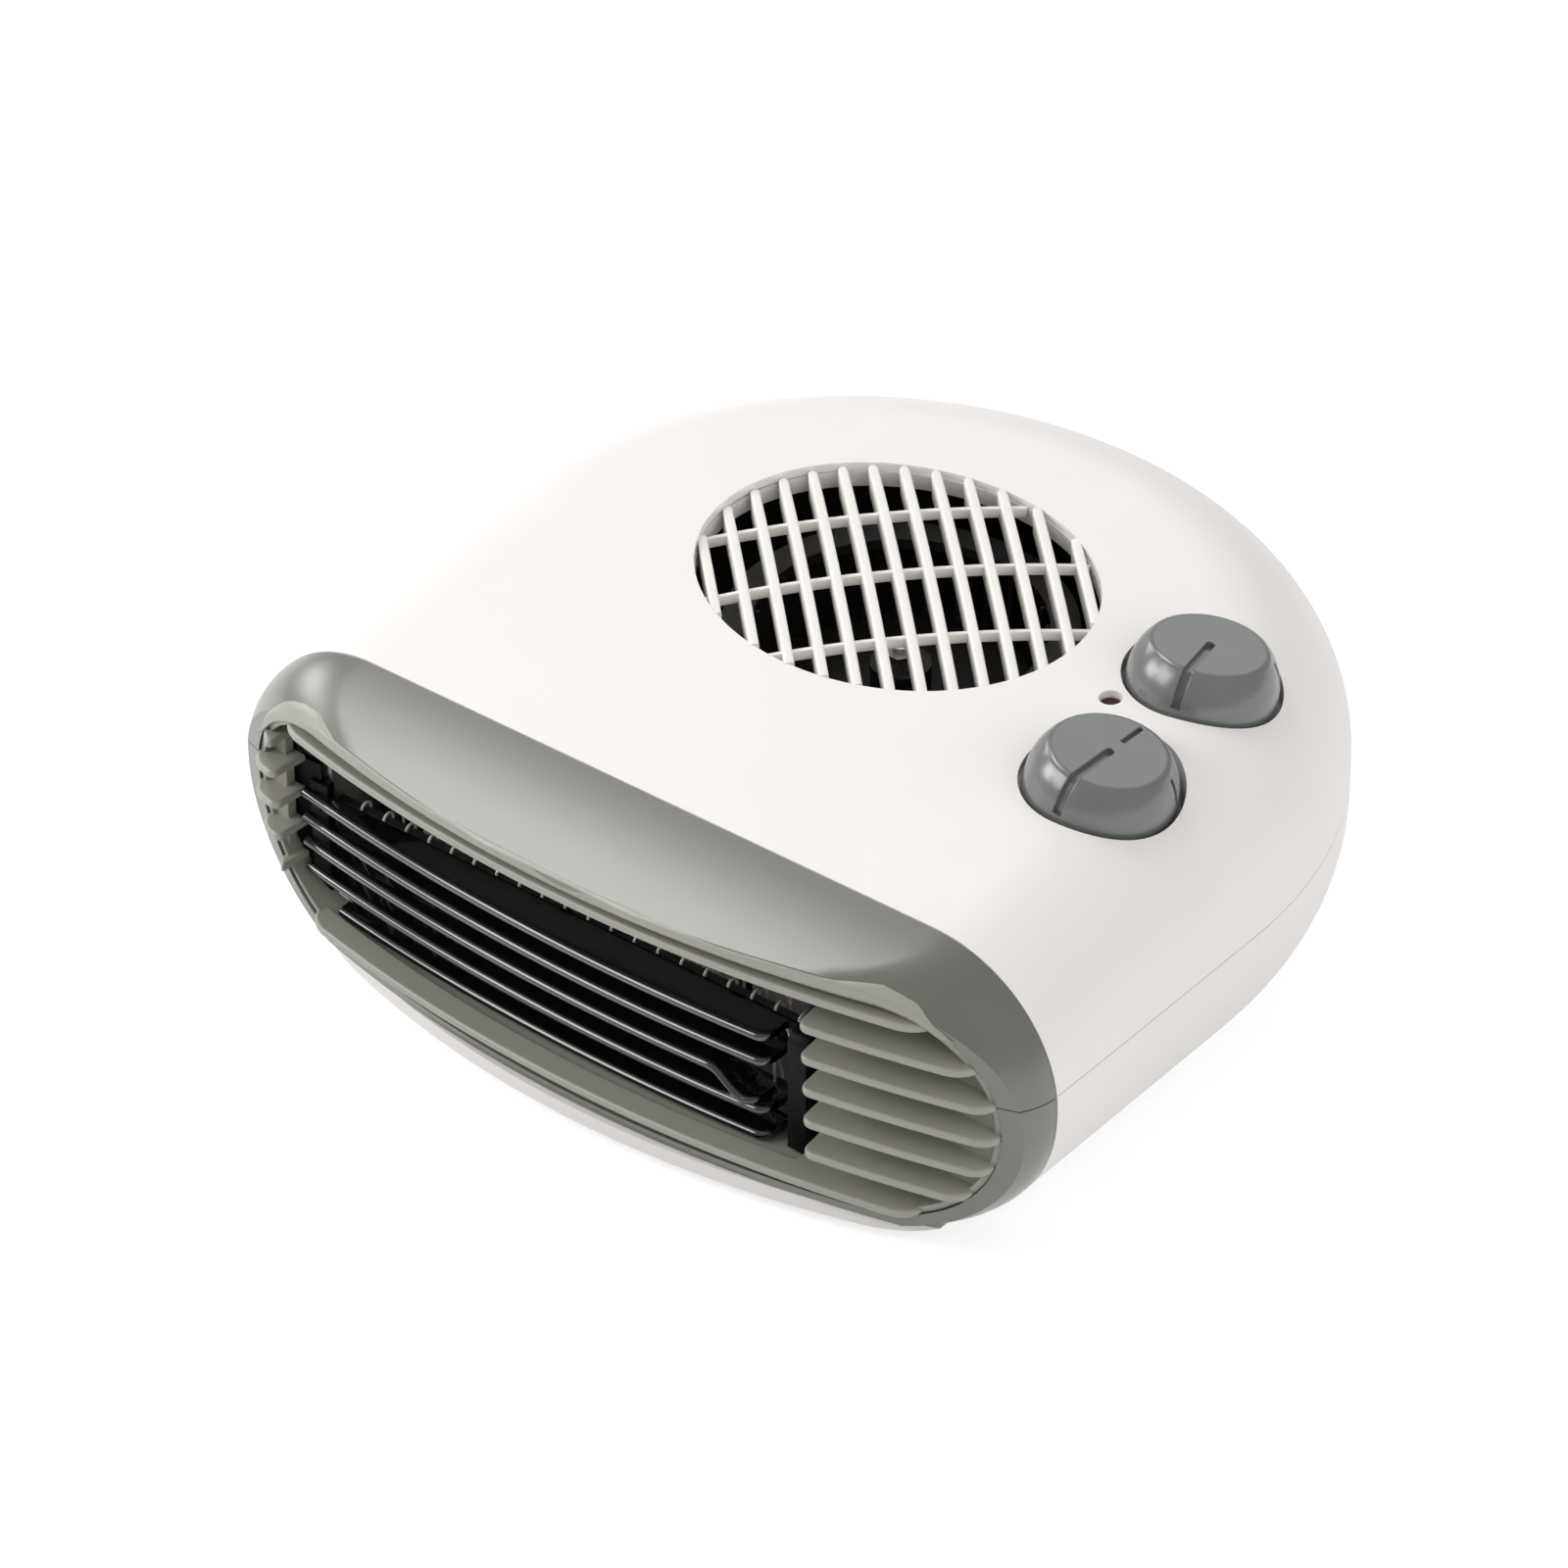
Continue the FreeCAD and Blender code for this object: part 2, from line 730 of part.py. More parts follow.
def upper_housing(shell, outer):
    low = -wall - fit - intake_ring_depth
    floor = -knob_lift
    added = []
    removed = [placed(oval(fit, -wall * 2, knob_height), intake_frame)]
    for x, y in ear_places():
        boss = placed(rod(ear_radius, x, y, low + ear_thickness, 0), intake_frame)
        added.append(boss.common(outer).cut(placed(oval(intake_ring_wall + fit, low, 0), intake_frame)))
        removed.append(placed(rod(screw_radius, x, y, low, low + ear_thickness + wall), intake_frame))
    for frame in (mode_frame, thermostat_frame):
        well = knob_radius + knob_play
        cup = placed(rod(well + well_wall, 0, 0, floor - well_floor, knob_height), frame)
        added.append(cup.common(outer))
        removed.append(placed(rod(well, 0, 0, floor, 2 * knob_height), frame))
        removed.append(placed(rod(spindle_radius + knob_lift, 0, 0, floor - 2 * well_floor, floor), frame))
        for x, y in control_screw_places():
            removed.append(placed(rod(control_screw_radius, x, y, floor - 2 * well_floor, floor), frame))
    collar_low = lamp_ceiling - lamp_sleeve / 2
    added.append(rod(lens_flange + fit + well_wall, lamp_x, lamp_y, collar_low, crown_height).common(outer))
    removed.append(rod(lens_flange + fit, lamp_x, lamp_y, collar_low, lamp_ceiling))
    removed.append(rod(lens_radius + fit, lamp_x, lamp_y, collar_low, crown_height))
    for x, y in column_places():
        added.append(rod(column_radius, x, y, parting_height + seam, crown_height).common(outer))
        removed.append(rod(screw_radius, x, y, parting_height, parting_height + seam + screw_grip))
    shape = joined([shell] + added)
    for tool in removed:
        shape = shape.cut(tool)
    return shape


def lower_housing(shell, outer, seam_lip):
    added = [seam_lip]
    removed = []
    section = Part.Face(body_section(front_y - rim_depth, 0)).extrude(Vec(0, bezel_depth + 2 * rim_depth, 0))
    added.append(lip_block(0, 0, foot_height, lip_top).common(section))
    for x, y in column_places():
        added.append(rod(column_radius, x, y, foot_height, parting_height - seam / 2).common(outer))
        removed.append(rod(screw_radius + fit, x, y, 0, parting_height))
        removed.append(rod(screw_head + fit, x, y, 0, screw_seat_height))
    for x, y in lug_places():
        added.append(rod(lug_radius, x, y, foot_height, floor_z + lug_post).common(outer))
        removed.append(rod(screw_radius, x, y, floor_z, floor_z + lug_post))
    for x in (-motor_post_offset, motor_post_offset):
        added.append(rod(motor_post_radius, x, fan_y, foot_height, floor_z + motor_post_height))
        removed.append(rod(screw_radius, x, fan_y, floor_z, floor_z + motor_post_height))
    for x in terminal_screw_places():
        added.append(rod(motor_post_radius, x, terminal_y, foot_height, terminal_low).common(outer))
        removed.append(rod(screw_radius, x, terminal_y, floor_z + terminal_post, terminal_low))
    for x, y in foot_places().values():
        removed.append(rod(foot_stem, x, y, 0, floor_z))
    removed.append(rod_along_y(gland_radius, 0, gland_z, rear_y - gland_length, rear_y + 1))
    shape = fused([shell] + added)
    for tool in removed:
        shape = shape.cut(tool)
    return shape.removeSplitter()


def terminal_screw_places():
    return (-terminal_width / 3, terminal_width / 3)


def bezels():
    """The grey front band with its hood, split at the parting line, with a spigot into the housings."""
    skin = nose_block(0).common(bow_block(0))
    pocket = nose_block(bezel_wall).common(bow_block(rim_depth))
    ring = skin.cut(mouth_block(0, bezel_y + rim_depth)).cut(pocket)
    spigot_y = bezel_y - bezel_gap
    depth = Vec(0, spigot_depth + bezel_gap, 0)
    spigot = Part.Face(body_section(spigot_y, wall + fit)).extrude(depth)
    spigot = spigot.cut(Part.Face(body_section(spigot_y, bezel_wall + spigot_step)).extrude(depth))
    whole = ring.fuse(spigot).removeSplitter()
    upper = whole.common(box(-reach, reach, -reach, reach, parting_height + seam / 2, reach))
    lower = whole.common(box(-reach, reach, -reach, reach, 0, parting_height - seam / 2))
    lower = lower.cut(lip_block(fit, 0, 0, lip_top + fit))
    lower = lower.cut(box(-reach, reach, -reach, bezel_y - bezel_gap, 0, lip_top + fit))
    under = lip_block(fit, rim_depth + wall, 0, mouth_low + wall)
    under = under.fuse(box(-half_width + base_round / 2, half_width - base_round / 2, bezel_y - bezel_gap,
                           bezel_y + spigot_depth + fit, 0, mouth_low + wall))
    return upper, lower.cut(under)


def blade_front(i):
    drop = i * blade_pitch
    return front_y + blade_setback + blade_rake * drop


def blade_height(i):
    return mouth_top - blade_brow_drop - i * blade_pitch


def full_blade(i, back_y):
    """One louvre across the whole mouth, bowed in front with rounded corners and a rounded edge."""
    z = blade_height(i)
    low = z - blade_thickness / 2
    half = mouth_reach(z, 0)
    front = blade_front(i)
    side_y = front + blade_bow - math.sqrt(blade_bow ** 2 - half ** 2)
    outline = [
        arc(Vec(-half, side_y, low), Vec(0, front, low), Vec(half, side_y, low)),
        line(Vec(half, side_y, low), Vec(half, back_y, low)),
        line(Vec(half, back_y, low), Vec(-half, back_y, low)),
        line(Vec(-half, back_y, low), Vec(-half, side_y, low)),
    ]
    slab = Part.Face(Part.Wire(outline)).extrude(Vec(0, 0, blade_thickness))
    round_over = min(blade_corner, 0.8 * (back_y - side_y))
    corners = [e for e in slab.Edges if is_upright(e) and abs(e.BoundBox.YMin - side_y) < 0.01]
    return slab.makeFillet(round_over, corners)


def soften(slab, back_y, edge_round):
    edges = [e for e in slab.Edges if e.BoundBox.ZLength < 0.01 and e.BoundBox.YMin < back_y - 0.1]
    return slab.makeFillet(edge_round, edges)


def stub(i, inner_x, outer_x, slant):
    back_y = panel_y + panel_thickness
    ahead_y = front_y - rim_depth
    corners = [Vec(inner_x, ahead_y, 0), Vec(inner_x - slant, back_y, 0), Vec(outer_x, back_y, 0),
               Vec(outer_x, ahead_y, 0)]
    cutter = polygon_prism(corners, Vec(0, 0, crown_height))
    piece = full_blade(i, back_y).common(cutter)
    inner = [e for e in piece.Edges if is_upright(e) and abs(e.BoundBox.Center.x - inner_x) < stub_slant
             and e.BoundBox.YMin < panel_y - stub_corner]
    width = mouth_reach(blade_height(i), 0) - abs(inner_x)
    return soften(piece.makeFillet(min(stub_corner, width / 4), inner), back_y, blade_edge)


def front_grille():
    """The louvre insert: a ring in the mouth, two full blades, and stubs backed by a panel at each end."""
    back_y = front_y + grille_back
    outside = mouth_block(fit, back_y)
    inside = mouth_block(fit + grille_wall, back_y + 1)
    ring = outside.cut(inside).common(bow_block(grille_setback))
    flange = mouth_block(-grille_flange, back_y).cut(inside)
    flange_front = rim_depth + fit
    flange = flange.common(bow_block(flange_front)).cut(bow_block(flange_front + grille_flange_thickness))
    flange = flange.common(nose_block(bezel_wall + fit))
    pieces = [ring, flange]
    for i in (0, blade_count - 1):
        blade_back = blade_front(i) + blade_depth
        side_back = panel_y + panel_thickness
        blade = soften(full_blade(i, side_back), side_back, blade_edge)
        hollow = bowed_slab(blade_back, blade_bow, guard_left - fit, guard_right + fit, side_back + 1,
                            0, crown_height)
        pieces.append(blade.cut(hollow).common(outside))
    for i in range(1, blade_count - 1):
        pieces.append(stub(i, outlet_right, half_width, stub_slant).common(outside))
        pieces.append(stub(i, outlet_left, -half_width, -stub_slant).common(outside))
    panel_rear = panel_y + panel_thickness
    for x_low, x_high in ((outlet_right + panel_inset, half_width), (-half_width, outlet_left - panel_inset / 2)):
        pieces.append(outside.common(box(x_low, x_high, panel_y, panel_rear, 0, crown_height)))
    shape = fused(pieces)
    for x, z in guard_screw_places():
        shape = shape.cut(rod_along_y(guard_screw, x, z, panel_y + fit, panel_y + panel_thickness))
    return shape


def bowed_slab(front, bow, left, right, back_y, z_low, z_high):
    """A slab between two heights whose front edge is an arc about the middle plane."""
    left_y = front + bow - math.sqrt(bow ** 2 - left ** 2)
    right_y = front + bow - math.sqrt(bow ** 2 - right ** 2)
    middle = (left + right) / 2
    middle_y = front + bow - math.sqrt(bow ** 2 - middle ** 2)
    outline = [
        arc(Vec(left, left_y, z_low), Vec(middle, middle_y, z_low), Vec(right, right_y, z_low)),
        line(Vec(right, right_y, z_low), Vec(right, back_y, z_low)),
        line(Vec(right, back_y, z_low), Vec(left, back_y, z_low)),
        line(Vec(left, back_y, z_low), Vec(left, left_y, z_low)),
    ]
    return Part.Face(Part.Wire(outline)).extrude(Vec(0, 0, z_high - z_low))


def bar_height(i):
    """Middle height of a guard bar, counted from the top bar down."""
    return mouth_low + bar_sill + bar_thickness / 2 + (bar_count - 1 - i) * bar_pitch


def bar_left(i):
    """Where a bar ends on the left: beside the louvre stubs, or short of the mouth's rounded corner."""
    beside_stubs = outlet_left + stub_slant + bar_left_gap
    return max(beside_stubs, bar_left_play - mouth_reach(bar_height(i), guard_inset))


def guard_bar(i):
    front = front_y + bar_setback
    back_y = front_y + bar_back
    low = bar_height(i) - bar_thickness / 2
    right = outlet_right - bar_end_gap
    if i == crank_bar:
        right = right - crank_run
    left = bar_left(i)
    slab = bowed_slab(front, bar_bow, left, right, back_y, low, low + bar_thickness)
    tip = [e for e in slab.Edges if is_upright(e) and abs(e.BoundBox.XMax - right) < 0.01
           and e.BoundBox.YMin < back_y - 1]
    if i != crank_bar:
        slab = slab.makeFillet(bar_end_round, tip)
    front_edges = [e for e in slab.Edges if e.BoundBox.ZLength < 0.01 and e.BoundBox.YMin < back_y - 0.1
                   and e.BoundBox.XMax > left + 0.1]
    return slab.makeFillet(bar_edge, front_edges)


def guard_crank():
    """The cranked end that ties one bar down to the bar below it."""
    front = front_y + bar_setback + bar_edge + fit
    back_y = front_y + bar_back
    right = outlet_right - bar_end_gap
    start = right - crank_run
    high = bar_height(crank_bar)
    low = bar_height(crank_bar + 1)
    half = bar_thickness / 2
    y = front - rim_depth
    tip = right - bar_end_round
    profile = [Vec(start - half, y, high + half), Vec(start + half, y, high + half), Vec(tip, y, low),
               Vec(tip - bar_thickness, y, low), Vec(start - half, y, high - half)]
    depth = Vec(0, back_y - y, 0)
    plan = bowed_slab(front, bar_bow, duct_left, right, back_y, 0, crown_height)
    return polygon_prism(profile, depth).common(plan)


def guard_screw_places():
    x = outlet_right + panel_inset + guard_screw * 4
    middle = blade_height(blade_count // 2)
    return [(x, middle + blade_pitch / 2), (x, middle - blade_pitch / 2)]


def outlet_guard():
    """The black guard: bowed bars on upright ribs and rails, posts at both ends, tabs behind the panels."""
    back_y = front_y + bar_back
    rail_back = panel_y + panel_thickness
    low = mouth_low + bar_sill
    top = bar_height(0) + bar_thickness / 2
    pieces = [guard_bar(i) for i in range(bar_count)]
    pieces.append(guard_crank())
    for z in (bar_height(0), bar_height(bar_count - 1)):
        half = bar_thickness / 2
        pieces.append(box(duct_left, guard_right, back_y, rail_back, z - half, z + half))
    middle = (duct_left + guard_right) / 2
    for i in range(rib_count):
        x = middle + (i - (rib_count - 1) / 2) * rib_pitch
        pieces.append(box(x - rib_width / 2, x + rib_width / 2, back_y - bar_edge, rail_back, low, top))
    post = box(guard_right - post_width, guard_right, front_y + post_front, guard_back, low, post_top)
    brow = [e for e in post.Edges if abs(e.BoundBox.ZMin - post_top) < 0.01 and e.BoundBox.YMax < back_y
            and e.BoundBox.YLength < 0.01]
    pieces.append(post.makeFillet(post_round, brow))
    pieces.append(box(guard_left, guard_left + post_width, back_y, guard_back, low, post_top))
    tab_middle = blade_height(blade_count // 2)
    tab_low = tab_middle - guard_tab_height / 2
    tab_high = tab_middle + guard_tab_height / 2
    tab_right = guard_right + guard_tab
    pieces.append(box(guard_right - post_width, tab_right, tab_y, guard_back, tab_low, tab_high))
    pieces.append(box(outlet_left - panel_inset * 2, duct_left, tab_y, guard_back, tab_low, tab_high))
    shape = fused(pieces).common(mouth_block(guard_inset, guard_back))
    for x, z in guard_screw_places():
        shape = shape.cut(rod_along_y(guard_screw, x, z, tab_y, guard_back))
    return shape


def guard_screws():
    screws = []
    for x, z in guard_screw_places():
        shank = rod_along_y(guard_screw, x, z, panel_y + 2 * fit, guard_back)
        head = rod_along_y(2 * guard_screw, x, z, guard_back, guard_back + guard_screw)
        screws.append(shank.fuse(head).removeSplitter())
    return Part.makeCompound(screws)


def duct_outline(grow):
    """Plan of the duct wall from its right leg round the fan to its left leg, drawn out by grow."""
    small = duct_right + grow
    big = grow - duct_left
    big_y = fan_y + duct_right + duct_left
    k = math.sqrt(0.5)
    return [
        line(Vec(small, duct_front_y, 0), Vec(small, fan_y, 0)),
        arc(Vec(small, fan_y, 0), Vec(small * k, fan_y + small * k, 0), Vec(0, fan_y + small, 0)),
        arc(Vec(0, big_y + big, 0), Vec(-big * k, big_y + big * k, 0), Vec(-big, big_y, 0)),
        line(Vec(-big, big_y, 0), Vec(-big, duct_front_y, 0)),
        line(Vec(-big, duct_front_y, 0), Vec(small, duct_front_y, 0)),
    ]


def air_scroll(clear_block):
    """The upright wall that leads air round the fan to the heating element, with ledges and screw lugs."""
    outer = Part.Face(Part.Wire(duct_outline(duct_wall))).extrude(Vec(0, 0, duct_top))
    inner = Part.Face(Part.Wire(duct_outline(0))).extrude(Vec(0, 0, duct_top))
    height = box(-reach, reach, duct_front_y, reach, floor_z + fit, duct_top)
    pieces = [outer.cut(inner).common(height)]
    ledge_top = end_plate_low
    for x_low, x_high in ((duct_right - duct_ledge, duct_right), (duct_left, duct_left + duct_ledge)):
        pieces.append(box(x_low, x_high, duct_front_y, heater_back, ledge_top - ledge_height, ledge_top))
    lug_low = floor_z + lug_post
    for x, y in lug_places():
        lug = rod(lug_radius, x, y, lug_low, lug_low + lug_thickness)
        toward = Vec(x, y - fan_y, 0)
        toward.normalize()
        bridge = box(-lug_radius - duct_wall, 0, -lug_radius, lug_radius, lug_low, lug_low + lug_thickness)
        turn = math.degrees(math.atan2(toward.y, toward.x)) if y > 0 else 0
        bridge.rotate(Vec(0, 0, 0), Vec(0, 0, 1), turn)
        bridge.translate(Vec(x, y, 0))
        pieces.append(lug.fuse(bridge).cut(inner))
    shape = fused(pieces).common(clear_block)
    for x, y in lug_places():
        shape = shape.cut(rod(screw_radius + fit, x, y, lug_low, lug_low + lug_thickness))
    return shape


def scroll_screws():
    seat = floor_z + lug_post + lug_thickness
    screws = []
    for x, y in lug_places():
        shank = rod(screw_radius, x, y, floor_z + fit, seat)
        head = rod(screw_head, x, y, seat, seat + screw_head_height)
        screws.append(shank.fuse(head).removeSplitter())
    return Part.makeCompound(screws)


def heater_frame(y):
    """A mica frame across the duct, open between its rails and posts."""
    half = frame_thickness / 2
    shape = box(plate_left, plate_right, y - half, y + half, heater_low, heater_top)
    bay = (plate_right - plate_left - frame_post) / frame_windows
    for i in range(frame_windows):
        start = plate_left + frame_post + i * bay
        shape = shape.cut(box(start, start + bay - frame_post, y - half, y + half,
                              heater_low + frame_rail, heater_top - frame_rail))
    return shape


def heater_end_plates():
    plates = []
    for x in (plate_right, plate_left - end_plate_thickness):
        plates.append(box(x, x + end_plate_thickness, guard_back + fit, heater_back, end_plate_low,
                          heater_top + end_plate_rise))
    return Part.makeCompound(plates)


def winding_path(y):
    """Resistance wire wound over both rails of a frame, with a side step behind and a lead at each end."""
    bend = frame_thickness / 2 + wire_gap + wire_radius
    front = y - bend
    back = y + bend
    swing = math.radians(wire_swing)
    swing_radius = wire_pitch / (2 * (1 - math.cos(swing)))
    swing_half = swing_radius * math.sin(swing)
    half_bow = swing_radius * (1 - math.cos(swing / 2))
    half_drop = swing_radius * math.sin(swing / 2)
    middle_z = (heater_low + heater_top) / 2
    first_x = (plate_left + plate_right - (wire_turns - 1) * wire_pitch) / 2
    k = 1 - math.sqrt(0.5)
    turnout = wire_turnout
    edges = [
        line(Vec(plate_left, front, middle_z - turnout), Vec(first_x - turnout, front, middle_z - turnout)),
        arc(Vec(first_x - turnout, front, middle_z - turnout),
            Vec(first_x - turnout * k, front, middle_z - turnout * (1 - k)), Vec(first_x, front, middle_z)),
        line(Vec(first_x, front, middle_z), Vec(first_x, front, heater_top)),
    ]
    for i in range(wire_turns):
        x = first_x + i * wire_pitch
        edges.append(arc(Vec(x, front, heater_top), Vec(x, y, heater_top + bend), Vec(x, back, heater_top)))
        if i == wire_turns - 1:
            break
        step = x + wire_pitch
        half_x = x + wire_pitch / 2
        edges.append(line(Vec(x, back, heater_top), Vec(x, back, middle_z + swing_half)))
        edges.append(arc(Vec(x, back, middle_z + swing_half),
                         Vec(x + half_bow, back, middle_z + swing_half - half_drop), Vec(half_x, back, middle_z)))
        edges.append(arc(Vec(half_x, back, middle_z),
                         Vec(step - half_bow, back, middle_z - swing_half + half_drop),
                         Vec(step, back, middle_z - swing_half)))
        edges.append(line(Vec(step, back, middle_z - swing_half), Vec(step, back, heater_low)))
        edges.append(arc(Vec(step, back, heater_low), Vec(step, y, heater_low - bend), Vec(step, front, heater_low)))
        edges.append(line(Vec(step, front, heater_low), Vec(step, front, heater_top)))
    last_x = first_x + (wire_turns - 1) * wire_pitch
    edges.append(line(Vec(last_x, back, heater_top), Vec(last_x, back, middle_z)))
    edges.append(arc(Vec(last_x, back, middle_z), Vec(last_x + turnout * k, back, middle_z - turnout * (1 - k)),
                     Vec(last_x + turnout, back, middle_z - turnout)))
    edges.append(line(Vec(last_x + turnout, back, middle_z - turnout), Vec(plate_right, back, middle_z - turnout)))
    return Part.Wire(edges)


def heater_winding(y):
    path = winding_path(y)
    start = path.OrderedEdges[0]
    begin = start.valueAt(start.FirstParameter)
    profile = Part.Wire([Part.makeCircle(wire_radius, begin, Vec(1, 0, 0))])
    tube = path.makePipeShell([profile], True, False)
    length = sum(e.Length for e in path.Edges)
    expected = length * math.pi * wire_radius ** 2
    print("winding volume ratio", round(tube.Volume / expected, 4), "least gap", round(winding_gap(path), 2))
    return tube


def winding_gap(path):
    """Least clear distance between stretches of the wire that are not next to each other."""
    points = []
    run = 0.0
    for edge in path.OrderedEdges:
        steps = max(2, int(edge.Length / (2 * wire_radius)))
        for point in edge.discretize(steps):
            points.append((run, point))
            run += edge.Length / steps
    apart = 2 * (frame_thickness + 2 * wire_gap + 2 * wire_radius)
    least = reach
    window = int(4 * heater_height / wire_radius)
    for i, (run_i, point) in enumerate(points):
        for run_j, other in points[i + 1:i + window]:
            if run_j - run_i > apart:
                least = min(least, point.distanceToPoint(other))
    return least - 2 * wire_radius


def thermal_cutout():
    y = (heater_front_y + heater_back) / 2 + wire_turnout
    z = heater_top + end_plate_rise / 2 + wire_turnout
    body = Part.makeCylinder(cutout_radius, cutout_height, Vec(plate_left, y, z), Vec(1, 0, 0))
    tags = []
    for side in (-1, 1):
        tags.append(box(plate_left + cutout_height, plate_left + cutout_height + tag_length,
                        y + side * cutout_radius / 2 - tag_thickness / 2,
                        y + side * cutout_radius / 2 + tag_thickness / 2, z - tag_width / 2, z + tag_width / 2))
    return fused([body] + tags)


def thermal_fuse():
    y = (heater_front_y + heater_back) / 2
    z = heater_top + end_plate_rise / 2
    block = box(plate_right - fuse_width, plate_right, y - fuse_length / 2, y + fuse_length / 2,
                z - fuse_width / 2, z + fuse_width / 2)
    x = plate_right - fuse_width / 2
    pin = rod_along_y(tag_thickness, x, z, y - fuse_length / 2 - tag_length, y + fuse_length / 2 + tag_length)
    return block.fuse(pin).removeSplitter()


def fan_impeller():
    """A centrifugal wheel: floor, hub and a ring of forward-curved blades under a rim."""
    top = impeller_low + impeller_height
    root = impeller_radius - blade_chord
    blade_low = impeller_low + impeller_floor / 2
    floor = rod(impeller_radius, 0, fan_y, impeller_low, impeller_low + impeller_floor)
    rim = rod(impeller_radius, 0, fan_y, top - impeller_ring, top)
    rim = rim.cut(rod(root + fan_blade_wall, 0, fan_y, top - impeller_ring, top))
    hub = rod(hub_radius, 0, fan_y, impeller_low, impeller_low + hub_height)

    def rim_point(radius, angle):
        turn = math.radians(angle)
        return Vec(radius * math.cos(turn), fan_y + radius * math.sin(turn), blade_low)

    wall_angle = math.degrees(fan_blade_wall / root)
    middle = impeller_radius - blade_chord / 2
    outside = impeller_radius - fan_blade_wall / 2
    front = [rim_point(root, 0), rim_point(middle, fan_blade_lead), rim_point(outside, fan_blade_sweep)]
    back = [rim_point(outside, fan_blade_sweep + wall_angle), rim_point(middle, fan_blade_lead + wall_angle),
            rim_point(root, wall_angle)]
    outline = Part.Wire([arc(*front), line(front[2], back[0]), arc(*back), line(back[2], front[0])])
    blade = Part.Face(outline).extrude(Vec(0, 0, top - impeller_ring / 2 - blade_low))
    blades = []
    for i in range(fan_blade_count):
        copy = blade.copy()
        copy.rotate(Vec(0, fan_y, 0), Vec(0, 0, 1), 360 * i / fan_blade_count)
        blades.append(copy)
    wheel = fused([floor, rim, hub] + blades)
    return wheel.cut(rod(shaft_radius, 0, fan_y, impeller_low, impeller_low + hub_height))


def hex_nut(radius, bore, x, y, low, height):
    points = []
    for i in range(6):
        turn = math.radians(60 * i)
        points.append(Vec(x + radius * math.cos(turn), y + radius * math.sin(turn), low))
    return polygon_prism(points, Vec(0, 0, height)).cut(rod(bore, x, y, low, low + height))


def impeller_nut():
    low = impeller_low + hub_height
    return hex_nut(nut_radius, shaft_radius, 0, fan_y, low, nut_height)


def motor_shaft():
    low = floor_z + motor_post_height - bridge_thickness
    return rod(shaft_radius, 0, fan_y, low, impeller_low + hub_height + nut_height + bridge_thickness)


def motor_rotor():
    body = rod(rotor_radius, 0, fan_y, stack_low, stack_high)
    return body.cut(rod(shaft_radius, 0, fan_y, stack_low, stack_high))


def motor_stator():
    """A laminated frame with the rotor bore in front and a window for the coil behind it."""
    frame = box(-stack_half_width, stack_half_width, fan_y - stack_front, fan_y + stack_rear,
                stack_low, stack_high)
    frame = frame.cut(rod(rotor_radius + air_gap, 0, fan_y, stack_low, stack_high))
    leg_y = fan_y + stack_rear - core_leg
    window = coil_half_length + 2 * fit
    frame = frame.cut(box(-window, window, leg_y - coil_build - 2 * fit, leg_y, stack_low, stack_high))
    for x in (-bolt_offset, bolt_offset):
        frame = frame.cut(rod(bolt_radius + fit, x, fan_y, stack_low, stack_high))
    return frame


def motor_coil():
    leg_y = fan_y + stack_rear - core_leg
    rear = fan_y + stack_rear
    shape = box(-coil_half_length, coil_half_length, leg_y - coil_build, rear + coil_build,
                stack_low - coil_build, stack_high + coil_build)
    along = [e for e in shape.Edges if e.BoundBox.XLength > coil_half_length]
    shape = shape.makeFillet(coil_round, along)
    leg = box(-coil_half_length, coil_half_length, leg_y - fit, rear + fit, stack_low - fit, stack_high + fit)
    return shape.cut(leg)


def motor_bridge(plate_low, stand_low, stand_high, half_length):
    """A cross strap over the stack with two stand-off bosses, bored for the shaft and the bolts."""
    strap = box(-half_length, half_length, fan_y - bridge_half_width, fan_y + bridge_half_width,
                plate_low, plate_low + bridge_thickness)
    bosses = [rod(spacer_radius, x, fan_y, stand_low, stand_high) for x in (-bolt_offset, bolt_offset)]
    shape = fused([strap] + bosses)
    shape = shape.cut(rod(shaft_radius + air_gap, 0, fan_y, plate_low, plate_low + bridge_thickness))
    low = min(plate_low, stand_low)
    high = max(plate_low + bridge_thickness, stand_high)
    for x in (-bolt_offset, bolt_offset):
        shape = shape.cut(rod(bolt_radius + fit, x, fan_y, low, high))
    return shape


def motor_bridge_lower():
    low = floor_z + motor_post_height
    shape = motor_bridge(low, low + bridge_thickness, stack_low, bridge_reach)
    for x in (-motor_post_offset, motor_post_offset):
        shape = shape.cut(rod(screw_radius + fit, x, fan_y, low, low + bridge_thickness))
    return shape


def motor_bridge_upper():
    plate_low = bridge_top - bridge_thickness
    return motor_bridge(plate_low, stack_high, plate_low, stack_half_width)


def bearing(low):
    bush = rod(bearing_radius, 0, fan_y, low, low + bearing_height)
    return bush.cut(rod(shaft_radius + running_play, 0, fan_y, low, low + bearing_height))


def motor_bolts():
    low = floor_z + motor_post_height
    bolts = []
    for x in (-bolt_offset, bolt_offset):
        shank = rod(bolt_radius, x, fan_y, low, bridge_top + 1.5 * bolt_radius)
        head = rod(2 * bolt_radius, x, fan_y, low - bolt_radius, low)
        bolts.append(shank.fuse(head).removeSplitter())
        bolts.append(hex_nut(2 * bolt_radius, bolt_radius, x, fan_y, bridge_top, 1.5 * bolt_radius))
    return Part.makeCompound(bolts)


